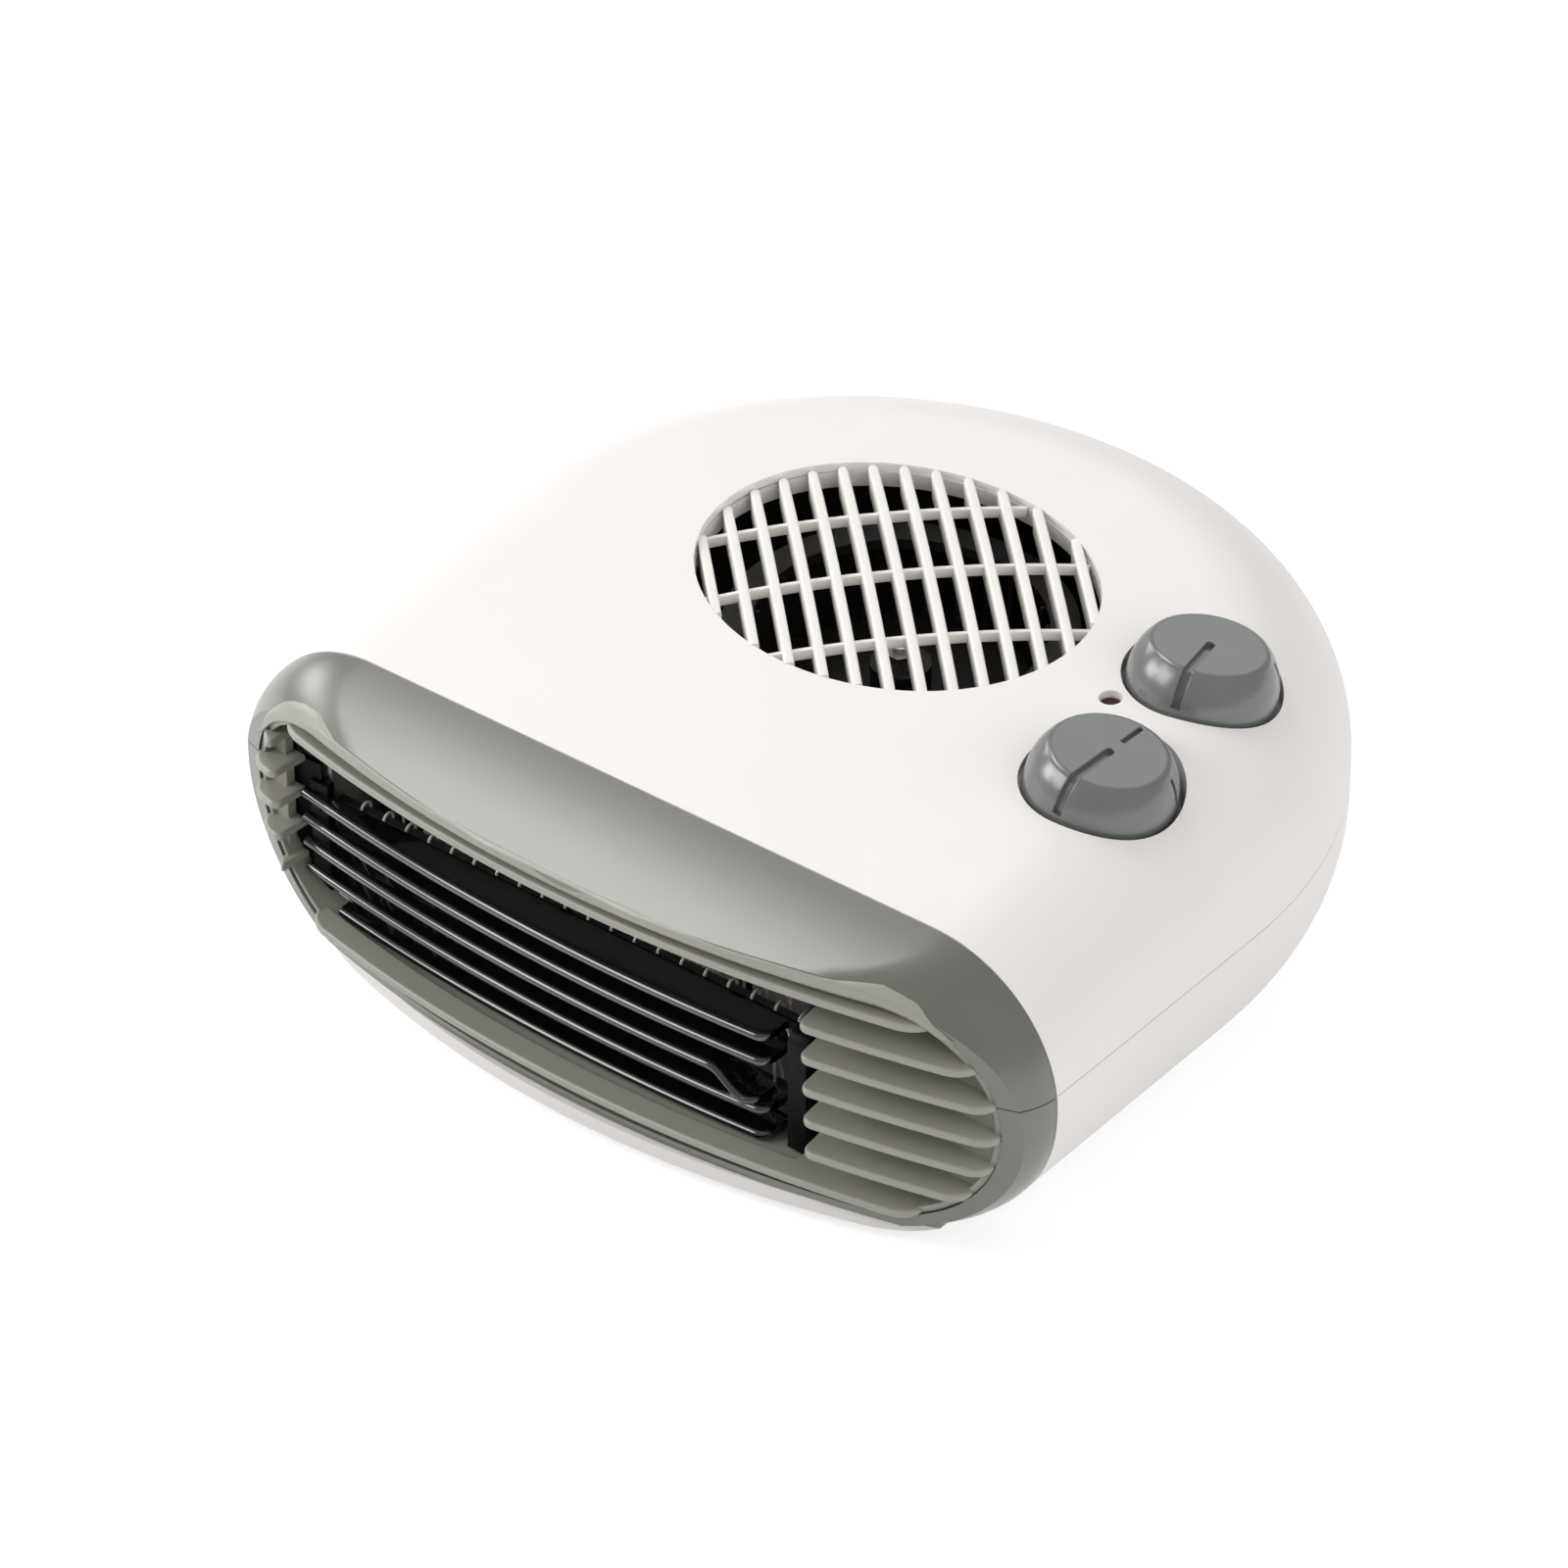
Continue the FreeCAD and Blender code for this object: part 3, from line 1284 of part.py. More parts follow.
def motor_screws():
    seat = floor_z + motor_post_height + bridge_thickness
    screws = []
    for x in (-motor_post_offset, motor_post_offset):
        shank = rod(screw_radius, x, fan_y, floor_z + fit, seat)
        head = rod(screw_head, x, fan_y, seat, seat + screw_head_height)
        screws.append(shank.fuse(head).removeSplitter())
    return Part.makeCompound(screws)


def pilot_lens():
    """A clear cap with a flange under the lamp hole and a sleeve for the lamp."""
    sleeve_low = lamp_ceiling - lamp_sleeve
    tip = arch_height(lamp_y) - lens_sink
    cap = rod(lens_radius, lamp_x, lamp_y, lamp_ceiling - fit, tip)
    sleeve = rod(lens_flange, lamp_x, lamp_y, sleeve_low, lamp_ceiling - fit)
    shape = cap.fuse(sleeve).removeSplitter()
    return shape.cut(rod(lamp_radius + fit, lamp_x, lamp_y, sleeve_low, sleeve_low + lamp_length + fit))


def pilot_lamp():
    sleeve_low = lamp_ceiling - lamp_sleeve
    bulb = rod(lamp_radius, lamp_x, lamp_y, sleeve_low, sleeve_low + lamp_length)
    base = rod(lens_flange, lamp_x, lamp_y, sleeve_low - lamp_radius, sleeve_low)
    legs = [rod(tag_thickness / 2, lamp_x + x, lamp_y, sleeve_low - lamp_radius - tag_length, sleeve_low - lamp_radius)
            for x in (-lamp_radius / 2, lamp_radius / 2)]
    return fused([bulb, base] + legs)


def cord_gland():
    """A flanged bush in the rear wall, bored for a mains lead."""
    back = rear_y - fit
    inside = rear_y - gland_length
    bush = rod_along_y(gland_radius - fit, 0, gland_z, inside, back)
    flange_back = rear_y - wall - gland_inset
    flange = rod_along_y(gland_flange, 0, gland_z, flange_back - gland_flange_thickness, flange_back)
    return bush.fuse(flange).removeSplitter().cut(rod_along_y(gland_bore, 0, gland_z, inside, back))


def terminal_block():
    half = terminal_width / 2
    depth = terminal_depth / 2
    top = terminal_low + terminal_height
    block = box(-half, half, terminal_y - depth, terminal_y + depth, terminal_low, top)
    for x in terminal_screw_places():
        block = block.cut(rod(screw_radius + fit, x, terminal_y, terminal_low, top))
    for x in (-half / 3, half / 3):
        block = block.cut(rod_along_y(screw_radius, x, terminal_low + terminal_height / 2,
                                      terminal_y - depth, terminal_y + depth))
    return block


def terminal_screws():
    seat = terminal_low + terminal_height
    screws = []
    for x in terminal_screw_places():
        shank = rod(screw_radius, x, terminal_y, floor_z + terminal_post + fit, seat)
        head = rod(screw_head, x, terminal_y, seat, seat + screw_head_height)
        screws.append(shank.fuse(head).removeSplitter())
    return Part.makeCompound(screws)


def foot(x, y):
    pad = rod(foot_radius, x, y, 0, foot_height)
    rim = [e for e in pad.Edges if e.BoundBox.ZMax < 0.01]
    pad = pad.makeChamfer(foot_height / 4, rim)
    return pad.fuse(rod(foot_stem, x, y, foot_height, foot_height + foot_stem_length)).removeSplitter()


def housing_screws():
    screws = []
    for x, y in column_places():
        shank = rod(screw_radius, x, y, screw_seat_height, parting_height + seam + screw_grip)
        head = rod(screw_head, x, y, screw_seat_height - screw_head_height, screw_seat_height)
        screws.append(shank.fuse(head).removeSplitter())
    return Part.makeCompound(screws)


def build_parts():
    upper, lower = housings()
    bezel_upper, bezel_lower = bezels()
    heater_rear_y = heater_front_y + heater_spacing
    clear_block = body_block(wall + fit)
    parts = {
        "upper_housing": upper,
        "lower_housing": lower,
        "upper_bezel": bezel_upper,
        "lower_bezel": bezel_lower,
        "front_grille": front_grille(),
        "outlet_guard": outlet_guard(),
        "guard_screws": guard_screws(),
        "intake_grille": intake_grille(clear_block),
        "grille_screws": grille_screws(),
        "mode_knob": placed(knob(True), mode_frame),
        "mode_spindle": placed(spindle_blank(), mode_frame),
        "mode_switch": mode_switch(),
        "thermostat_knob": placed(knob(False), thermostat_frame),
        "thermostat_spindle": placed(spindle_blank(), thermostat_frame),
        "thermostat": thermostat(),
        "control_screws": control_screws(),
        "pilot_lens": pilot_lens(),
        "pilot_lamp": pilot_lamp(),
        "air_scroll": air_scroll(clear_block),
        "scroll_screws": scroll_screws(),
        "heater_frame_front": heater_frame(heater_front_y),
        "heater_frame_rear": heater_frame(heater_rear_y),
        "heater_winding_front": heater_winding(heater_front_y),
        "heater_winding_rear": heater_winding(heater_rear_y),
        "heater_end_plates": heater_end_plates(),
        "thermal_cutout": thermal_cutout(),
        "thermal_fuse": thermal_fuse(),
        "fan_impeller": fan_impeller(),
        "impeller_nut": impeller_nut(),
        "motor_shaft": motor_shaft(),
        "motor_rotor": motor_rotor(),
        "motor_stator": motor_stator(),
        "motor_coil": motor_coil(),
        "motor_bridge_upper": motor_bridge_upper(),
        "motor_bridge_lower": motor_bridge_lower(),
        "bearing_upper": bearing(bridge_top - bridge_thickness - bearing_height),
        "bearing_lower": bearing(floor_z + motor_post_height + bridge_thickness),
        "motor_bolts": motor_bolts(),
        "motor_screws": motor_screws(),
        "terminal_block": terminal_block(),
        "terminal_screws": terminal_screws(),
        "cord_gland": cord_gland(),
        "housing_screws": housing_screws(),
    }
    for place, (x, y) in foot_places().items():
        parts["foot_" + place] = foot(x, y)
    return parts


def main():
    os.makedirs("parts", exist_ok=True)
    for name, shape in build_parts().items():
        shape.exportStep("parts/" + name + ".step")
        print(name, len(shape.Solids), shape.isValid(), round(shape.Volume / 1000, 2))


main()
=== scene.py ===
import bpy, bmesh, json, math
from mathutils import Matrix, Vector
from mathutils.bvhtree import BVHTree


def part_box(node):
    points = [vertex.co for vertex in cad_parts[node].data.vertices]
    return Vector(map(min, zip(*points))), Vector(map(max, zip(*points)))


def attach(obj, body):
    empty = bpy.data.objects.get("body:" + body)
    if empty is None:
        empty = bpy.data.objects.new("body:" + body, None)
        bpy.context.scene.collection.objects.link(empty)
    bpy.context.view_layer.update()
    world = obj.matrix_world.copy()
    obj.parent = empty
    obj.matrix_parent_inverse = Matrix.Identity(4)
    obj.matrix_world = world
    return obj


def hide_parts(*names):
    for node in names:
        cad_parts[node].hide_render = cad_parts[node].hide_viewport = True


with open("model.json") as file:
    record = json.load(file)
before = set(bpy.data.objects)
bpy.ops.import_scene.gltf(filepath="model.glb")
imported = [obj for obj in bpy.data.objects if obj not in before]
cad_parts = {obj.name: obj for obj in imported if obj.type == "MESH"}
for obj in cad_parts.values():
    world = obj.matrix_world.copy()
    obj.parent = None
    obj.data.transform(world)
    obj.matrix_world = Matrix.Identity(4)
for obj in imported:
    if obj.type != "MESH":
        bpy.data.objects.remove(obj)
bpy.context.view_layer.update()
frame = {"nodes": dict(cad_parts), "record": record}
nodes = frame["nodes"]
scene = bpy.context.scene
scene.view_settings.view_transform = "Standard"
print("frame loaded,", len(nodes), "nodes")


# camera at the photo's place: looks down on the front right corner
cameraView = {
    "azimuth": 38.338, "elevation": 36.021, "distance": 2.0, "target": (-0.026317, 0.0, 0.028848),
    "lens": 176.38, "sensor": 36.0, "clip": (0.1, 20.0),
}


def aimAlong(thing, direction):
    thing.rotation_mode = "QUATERNION"
    thing.rotation_quaternion = direction.to_track_quat("-Z", "Y")


def setCamera(view):
    az, el = math.radians(view["azimuth"]), math.radians(view["elevation"])
    back = Vector((math.sin(az) * math.cos(el), -math.cos(az) * math.cos(el), math.sin(el)))
    data = bpy.data.cameras.new("photoCamera")
    data.lens, data.sensor_width = view["lens"], view["sensor"]
    data.clip_start, data.clip_end = view["clip"]
    camera = bpy.data.objects.new("photoCamera", data)
    camera.location = Vector(view["target"]) + back * view["distance"]
    aimAlong(camera, -back)
    scene.collection.objects.link(camera)
    scene.camera = camera


setCamera(cameraView)
print("camera set")


# soft studio: a key softbox high on the left, a row from the left round to the mouth,
# and fills behind and on the right
studioLights = {
    "keySoftbox": {"at": (-0.80, 0.19, 1.37), "size": 0.50, "power": 5.1},
    "frontSoftbox": {"at": (-0.92, -1.22, 1.04), "size": 0.78, "power": 9.6},
    "frontLeftSoftbox": {"at": (-1.28, -0.70, 0.66), "size": 0.50, "power": 6.0},
    "leftSoftbox": {"at": (-1.42, 0.22, 0.68), "size": 0.50, "power": 3.8},
    "backSoftbox": {"at": (-0.48, 1.30, 1.10), "size": 0.90, "power": 2.4},
    "rightFill": {"at": (1.6, -0.1, 0.8), "size": 2.2, "power": 20.0, "mirrored": False},
}
roomLight = {"strength": 0.31, "mirrored": 0.5, "color": (1.0, 0.985, 0.97, 1.0)}


def addSoftbox(name, spec):
    data = bpy.data.lights.new(name, "AREA")
    data.shape, data.size, data.energy = "SQUARE", spec["size"], spec["power"]
    lamp = bpy.data.objects.new(name, data)
    lamp.location = spec["at"]
    aimAlong(lamp, -Vector(spec["at"]))
    lamp.visible_glossy = spec.get("mirrored", True)
    scene.collection.objects.link(lamp)


def seenDirectly(tree, rays=("Is Camera Ray", "Is Glossy Ray", "Is Transmission Ray")):
    # 1 where the ray is of one of these kinds, else 0
    path = tree.nodes.new("ShaderNodeLightPath")
    total = None
    for ray in rays:
        if total is None:
            total = path.outputs[ray]
            continue
        either = tree.nodes.new("ShaderNodeMath")
        either.operation = "MAXIMUM"
        tree.links.new(total, either.inputs[0])
        tree.links.new(path.outputs[ray], either.inputs[1])
        total = either.outputs[0]
    return total


def setRoom(spec):
    world = bpy.data.worlds.new("paleRoom")
    world.use_nodes = True
    tree = world.node_tree
    tree.nodes.clear()
    out = tree.nodes.new("ShaderNodeOutputWorld")
    mix = tree.nodes.new("ShaderNodeMixShader")
    ambient = tree.nodes.new("ShaderNodeBackground")
    ambient.inputs["Color"].default_value = spec["color"]
    ambient.inputs["Strength"].default_value = spec["strength"]
    white = tree.nodes.new("ShaderNodeBackground")
    white.inputs["Color"].default_value = (1, 1, 1, 1)
    # the room is dimmer in a gloss than the white seen straight on
    dim = tree.nodes.new("ShaderNodeMapRange")
    dim.inputs["To Min"].default_value = spec["mirrored"]
    dim.inputs["To Max"].default_value = 1.0
    straight = seenDirectly(tree, ("Is Camera Ray", "Is Transmission Ray"))
    tree.links.new(straight, dim.inputs["Value"])
    tree.links.new(dim.outputs["Result"], white.inputs["Strength"])
    tree.links.new(seenDirectly(tree), mix.inputs[0])
    tree.links.new(ambient.outputs[0], mix.inputs[1])
    tree.links.new(white.outputs[0], mix.inputs[2])
    tree.links.new(mix.outputs[0], out.inputs[0])
    scene.world = world


floorLook = {"halfSize": 4.0, "albedo": 0.66, "glow": 0.62, "fade": (0.6, 2.0)}


def addFloor(spec):
    mesh = bpy.data.meshes.new("paleFloor")
    h = spec["halfSize"]
    mesh.from_pydata([(-h, -h, 0), (h, -h, 0), (h, h, 0), (-h, h, 0)], [], [(0, 1, 2, 3)])
    floor = bpy.data.objects.new("paleFloor", mesh)
    scene.collection.objects.link(floor)
    mat = bpy.data.materials.new("paleFloor")
    mat.use_nodes = True
    tree = mat.node_tree
    tree.nodes.clear()
    out = tree.nodes.new("ShaderNodeOutputMaterial")
    add = tree.nodes.new("ShaderNodeAddShader")
    diffuse = tree.nodes.new("ShaderNodeBsdfDiffuse")
    diffuse.inputs["Color"].default_value = (spec["albedo"],) * 3 + (1,)
    glow = tree.nodes.new("ShaderNodeEmission")
    scale = tree.nodes.new("ShaderNodeMath")
    scale.operation = "MULTIPLY"
    # the floor fades to white away from the lamps
    away = tree.nodes.new("ShaderNodeVectorMath")
    away.operation = "LENGTH"
    tree.links.new(tree.nodes.new("ShaderNodeTexCoord").outputs["Object"], away.inputs[0])
    fade = tree.nodes.new("ShaderNodeMapRange")
    fade.inputs["From Min"].default_value, fade.inputs["From Max"].default_value = spec["fade"]
    fade.inputs["To Min"].default_value = spec["glow"]
    tree.links.new(away.outputs["Value"], fade.inputs["Value"])
    tree.links.new(fade.outputs["Result"], scale.inputs[1])
    tree.links.new(seenDirectly(tree), scale.inputs[0])
    tree.links.new(scale.outputs[0], glow.inputs["Strength"])
    tree.links.new(diffuse.outputs[0], add.inputs[0])
    tree.links.new(glow.outputs[0], add.inputs[1])
    # clear from below, so that the underside can be looked at
    side = tree.nodes.new("ShaderNodeMixShader")
    below = tree.nodes.new("ShaderNodeNewGeometry").outputs["Backfacing"]
    tree.links.new(below, side.inputs[0])
    tree.links.new(add.outputs[0], side.inputs[1])
    tree.links.new(tree.nodes.new("ShaderNodeBsdfTransparent").outputs[0], side.inputs[2])
    tree.links.new(side.outputs[0], out.inputs[0])
    mesh.materials.append(mat)


for lampName, lampSpec in studioLights.items():
    addSoftbox(lampName, lampSpec)
setRoom(roomLight)
addFloor(floorLook)
print("studio lit")


def linear(red, green, blue):
    # 0-255 display colour to scene colour
    def one(value):
        v = value / 255
        return v / 12.92 if v <= 0.04045 else ((v + 0.055) / 1.055) ** 2.4
    return (one(red), one(green), one(blue), 1.0)


# moulded plastics: a broad tint drift, a fine mould grain and uneven gloss
plasticLooks = {
    "white_shell": {
        "color": linear(243, 240, 238), "rough": 0.42, "specular": 0.45,
        "drift": 0.012, "grain": 2600, "bump": 0.02,
    },
    "white_grille": {
        "color": linear(243, 240, 236), "rough": 0.38, "specular": 0.5,
        "drift": 0.012, "grain": 2600, "bump": 0.015,
    },
    "hood_grey": {
        "color": linear(95, 95, 87), "rough": 0.34, "specular": 0.95,
        "drift": 0.02, "grain": 2300, "bump": 0.03, "coat": 0.42, "coatRough": 0.30, "uneven": 0.008,
    },
    "louvre_grey": {
        "color": linear(158, 157, 148), "rough": 0.36, "specular": 0.8,
        "drift": 0.02, "grain": 2300, "bump": 0.03, "soften": 0.0005,
    },
    "guard_black": {
        "color": linear(11, 11, 12), "rough": 0.22, "specular": 0.35,
        "drift": 0.05, "grain": 1500, "bump": 0.01, "coat": 1.0, "coatRough": 0.06, "soften": 0.0003,
    },
    "guard_dull": {
        "color": linear(10, 10, 11), "rough": 0.45, "specular": 0.12,
        "drift": 0.06, "grain": 1500, "bump": 0.02,
    },
    "knob_grey": {
        "color": linear(103, 107, 105), "rough": 0.25, "specular": 1.0,
        "drift": 0.015, "grain": 2400, "bump": 0.01, "soften": 0.0006,
    },
    "duct_black": {
        "color": linear(22, 21, 20), "rough": 0.55, "specular": 0.3,
        "drift": 0.08, "grain": 1400, "bump": 0.04,
    },
    "fan_plastic": {
        "color": linear(42, 41, 40), "rough": 0.45, "specular": 0.4,
        "drift": 0.06, "grain": 1500, "bump": 0.03,
    },
    "bakelite": {
        "color": linear(44, 38, 34), "rough": 0.35, "specular": 0.5,
        "drift": 0.08, "grain": 1200, "bump": 0.03,
    },
    "terminal_plastic": {
        "color": linear(226, 222, 208), "rough": 0.45, "specular": 0.45,
        "drift": 0.02, "grain": 1800, "bump": 0.02,
    },
    "ceramic_white": {
        "color": linear(230, 226, 214), "rough": 0.30, "specular": 0.5,
        "drift": 0.02, "grain": 1200, "bump": 0.02,
    },
    "foot_rubber": {
        "color": linear(40, 39, 38), "rough": 0.75, "specular": 0.25,
        "drift": 0.10, "grain": 1600, "bump": 0.10,
    },
    "gland_rubber": {
        "color": linear(38, 37, 36), "rough": 0.60, "specular": 0.3,
        "drift": 0.08, "grain": 1600, "bump": 0.08,
    },
    # mica: its colour is darkened to near black as painted shade, for the shadow it sits in under the hood
    "mica": {
        "color": linear(46, 43, 40), "rough": 0.42, "specular": 0.5,
        "drift": 0.16, "grain": 500, "bump": 0.06,
    },
}
plasticSkin = {
    "driftScale": 24.0, "glossScale": 160.0, "uneven": 0.03, "grainDetail": 1.0, "bumpDistance": 0.0003,
    "coatIor": 1.75,
}
# metals: stained by their grain, with duller patches
metalLooks = {
    # resistance wire: partly its own pale metal, partly painted highlight, whitened and made mostly diffuse
    # so its strokes show bright in the hood's shade
    "resistance_wire": {
        "color": linear(240, 236, 230), "rough": 0.40, "drift": 0.10, "grain": 700, "metallic": 0.3,
    },
    "plated_steel": {"color": linear(196, 196, 192), "rough": 0.36, "drift": 0.08, "grain": 420},
    "screw_steel": {"color": linear(200, 199, 196), "rough": 0.32, "drift": 0.08, "grain": 900},
    "shaft_steel": {"color": linear(208, 208, 206), "rough": 0.24, "drift": 0.05, "grain": 900},
    "laminations": {"color": linear(120, 120, 124), "rough": 0.48, "drift": 0.12, "grain": 700},
    "coil_copper": {"color": linear(176, 98, 52), "rough": 0.34, "drift": 0.12, "grain": 900},
    "terminal_brass": {"color": linear(206, 170, 96), "rough": 0.30, "drift": 0.08, "grain": 800},
    "bearing_bronze": {"color": linear(188, 146, 86), "rough": 0.45, "drift": 0.10, "grain": 1500},
}
metalSkin = {"brighter": 0.5, "patchSize": 3, "smoother": 0.06, "duller": 0.08}
# clear plastics, faintly clouded
clearLooks = {
    "lens_red": {"color": linear(74, 26, 18), "rough": 0.12, "passes": 0.55},
    "lamp_glass": {"color": linear(240, 230, 220), "rough": 0.05, "passes": 0.85},
}
clearBody = {"cloudScale": 300.0, "clouds": (0.92, 1.05), "ior": 1.49}
noiseSpan = (0.3, 0.7)


def startMaterial(name):
    mat = bpy.data.materials.new(name)
    mat.use_nodes = True
    tree = mat.node_tree
    shader = tree.nodes["Principled BSDF"]
    place = tree.nodes.new("ShaderNodeTexCoord").outputs["Object"]
    return mat, tree, shader, place


def noiseField(tree, place, scale, detail=3.0):
    noise = tree.nodes.new("ShaderNodeTexNoise")
    noise.inputs["Scale"].default_value = scale
    noise.inputs["Detail"].default_value = detail
    tree.links.new(place, noise.inputs["Vector"])
    return noise.outputs["Fac"]


def remap(tree, value, low, high):
    # spreads the middle of a noise field from low to high
    node = tree.nodes.new("ShaderNodeMapRange")
    node.inputs["From Min"].default_value, node.inputs["From Max"].default_value = noiseSpan
    node.inputs["To Min"].default_value = low
    node.inputs["To Max"].default_value = high
    tree.links.new(value, node.inputs["Value"])
    return node.outputs["Result"]


def tint(tree, color, value):
    # the colour times a value that drifts about 1
    hue = tree.nodes.new("ShaderNodeHueSaturation")
    hue.inputs["Color"].default_value = color
    tree.links.new(value, hue.inputs["Value"])
    return hue.outputs["Color"]


def plastic(name, look):
    mat, tree, shader, place = startMaterial(name)
    broad = noiseField(tree, place, plasticSkin["driftScale"])
    drift = remap(tree, broad, 1 - look["drift"], 1 + look["drift"])
    tree.links.new(tint(tree, look["color"], drift), shader.inputs["Base Color"])
    spread = look.get("uneven", plasticSkin["uneven"])
    gloss = noiseField(tree, place, plasticSkin["glossScale"])
    uneven = remap(tree, gloss, look["rough"] - spread, look["rough"] + spread)
    tree.links.new(uneven, shader.inputs["Roughness"])
    shader.inputs["Specular IOR Level"].default_value = look["specular"]
    bump = tree.nodes.new("ShaderNodeBump")
    bump.inputs["Strength"].default_value = look["bump"]
    bump.inputs["Distance"].default_value = plasticSkin["bumpDistance"]
    grain = noiseField(tree, place, look["grain"], plasticSkin["grainDetail"])
    tree.links.new(grain, bump.inputs["Height"])
    if "soften" in look:
        bevel = tree.nodes.new("ShaderNodeBevel")
        bevel.inputs["Radius"].default_value = look["soften"]
        tree.links.new(bevel.outputs["Normal"], bump.inputs["Normal"])
    if "coat" in look:
        shader.inputs["Coat Weight"].default_value = look["coat"]
        shader.inputs["Coat Roughness"].default_value = look["coatRough"]
        shader.inputs["Coat IOR"].default_value = plasticSkin["coatIor"]
    tree.links.new(bump.outputs["Normal"], shader.inputs["Normal"])
    return mat


def metal(name, look):
    mat, tree, shader, place = startMaterial(name)
    drift, rough, grain = look["drift"], look["rough"], look["grain"]
    stain = remap(tree, noiseField(tree, place, grain), 1 - drift, 1 + drift * metalSkin["brighter"])
    tree.links.new(tint(tree, look["color"], stain), shader.inputs["Base Color"])
    patches = noiseField(tree, place, grain / metalSkin["patchSize"])
    uneven = remap(tree, patches, rough - metalSkin["smoother"], rough + metalSkin["duller"])
    tree.links.new(uneven, shader.inputs["Roughness"])
    shader.inputs["Metallic"].default_value = look.get("metallic", 1.0)
    return mat


def clearPlastic(name, look):
    mat, tree, shader, place = startMaterial(name)
    drift = remap(tree, noiseField(tree, place, clearBody["cloudScale"]), *clearBody["clouds"])
    tree.links.new(tint(tree, look["color"], drift), shader.inputs["Base Color"])
    shader.inputs["Roughness"].default_value = look["rough"]
    shader.inputs["Transmission Weight"].default_value = look["passes"]
    shader.inputs["IOR"].default_value = clearBody["ior"]
    return mat


finishes = {}
for looks, makeFinish in ((plasticLooks, plastic), (metalLooks, metal), (clearLooks, clearPlastic)):
    for slotName, slotLook in looks.items():
        finishes[slotName] = makeFinish(slotName, slotLook)
for part in frame["record"]["subparts"]:
    node = nodes[part["node"]]
    node.data.materials.clear()
    node.data.materials.append(finishes[part["material_slot"]])
print("finishes set on", len(finishes), "slots")


# mesh helpers
creaseAngle = 38
closeBy = 1e-6


def formObject(name, form):
    mesh = bpy.data.meshes.new(name)
    form.to_mesh(mesh)
    form.free()
    made = bpy.data.objects.new(name, mesh)
    scene.collection.objects.link(made)
    return made


def smoothOver(mesh, crease):
    mesh.shade_smooth()
    mesh.set_sharp_from_angle(angle=math.radians(crease))


def applyModifiers(thing):
    evaluated = thing.evaluated_get(bpy.context.evaluated_depsgraph_get())
    result = bpy.data.meshes.new_from_object(evaluated)
    thing.modifiers.clear()
    thing.data = result


def smoothstep(t):
    return t * t * (3 - 2 * t)


# Geometry Nodes helpers
def plug(tree, value, socket):
    if isinstance(value, bpy.types.NodeSocket):
        tree.links.new(value, socket)
    else:
        socket.default_value = value


def addNode(tree, kind, values, **settings):
    node = tree.nodes.new(kind)
    for key, setting in settings.items():
        setattr(node, key, setting)
    for label, value in values.items():
        plug(tree, value, node.inputs[label])
    return node


def calc(tree, operation, first, second=0.0):
    node = tree.nodes.new("ShaderNodeMath")
    node.operation = operation
    plug(tree, first, node.inputs[0])
    plug(tree, second, node.inputs[1])
    return node.outputs[0]


def combine(tree, axes):
    return addNode(tree, "ShaderNodeCombineXYZ", axes).outputs[0]


def splitPosition(tree):
    position = tree.nodes.new("GeometryNodeInputPosition").outputs[0]
    return addNode(tree, "ShaderNodeSeparateXYZ", {"Vector": position}).outputs


def mark(tree, label):
    named = addNode(tree, "GeometryNodeInputNamedAttribute", {"Name": label}, data_type="FLOAT")
    return named.outputs[0]


def newTree(name, sizes):
    tree = bpy.data.node_groups.new(name, "GeometryNodeTree")
    tree.interface.new_socket("Places", in_out="INPUT", socket_type="NodeSocketGeometry")
    for label, value in sizes.items():
        kind = "NodeSocketInt" if isinstance(value, int) else "NodeSocketFloat"
        tree.interface.new_socket(label, in_out="INPUT", socket_type=kind)
    tree.interface.new_socket("Piece", in_out="OUTPUT", socket_type="NodeSocketGeometry")
    return tree, tree.nodes.new("NodeGroupInput").outputs


def endTree(tree, shapes, material):
    join = tree.nodes.new("GeometryNodeJoinGeometry")
    for shape in shapes:
        tree.links.new(shape, join.inputs[0])
    whole = addNode(tree, "GeometryNodeRealizeInstances", {"Geometry": join.outputs[0]})
    coated = addNode(tree, "GeometryNodeSetMaterial", {"Geometry": whole.outputs[0], "Material": material})
    tree.links.new(coated.outputs[0], tree.nodes.new("NodeGroupOutput").inputs[0])


def growPiece(name, tree, sizes, places, edges=(), marks=None):
    mesh = bpy.data.meshes.new(name)
    mesh.from_pydata(places, edges, [])
    for label, values in (marks or {}).items():
        mesh.attributes.new(label, "FLOAT", "POINT").data.foreach_set("value", values)
    piece = bpy.data.objects.new(name, mesh)
    scene.collection.objects.link(piece)
    grow = piece.modifiers.new("grow", "NODES")
    grow.node_group = tree
    for item in tree.interface.items_tree:
        if item.in_out == "INPUT" and item.name in sizes:
            grow[item.identifier] = sizes[item.name]
    applyModifiers(piece)
    smoothOver(piece.data, creaseAngle)
    return piece


def settle(piece, body, slot, *stands):
    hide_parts(*stands)
    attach(piece, body)


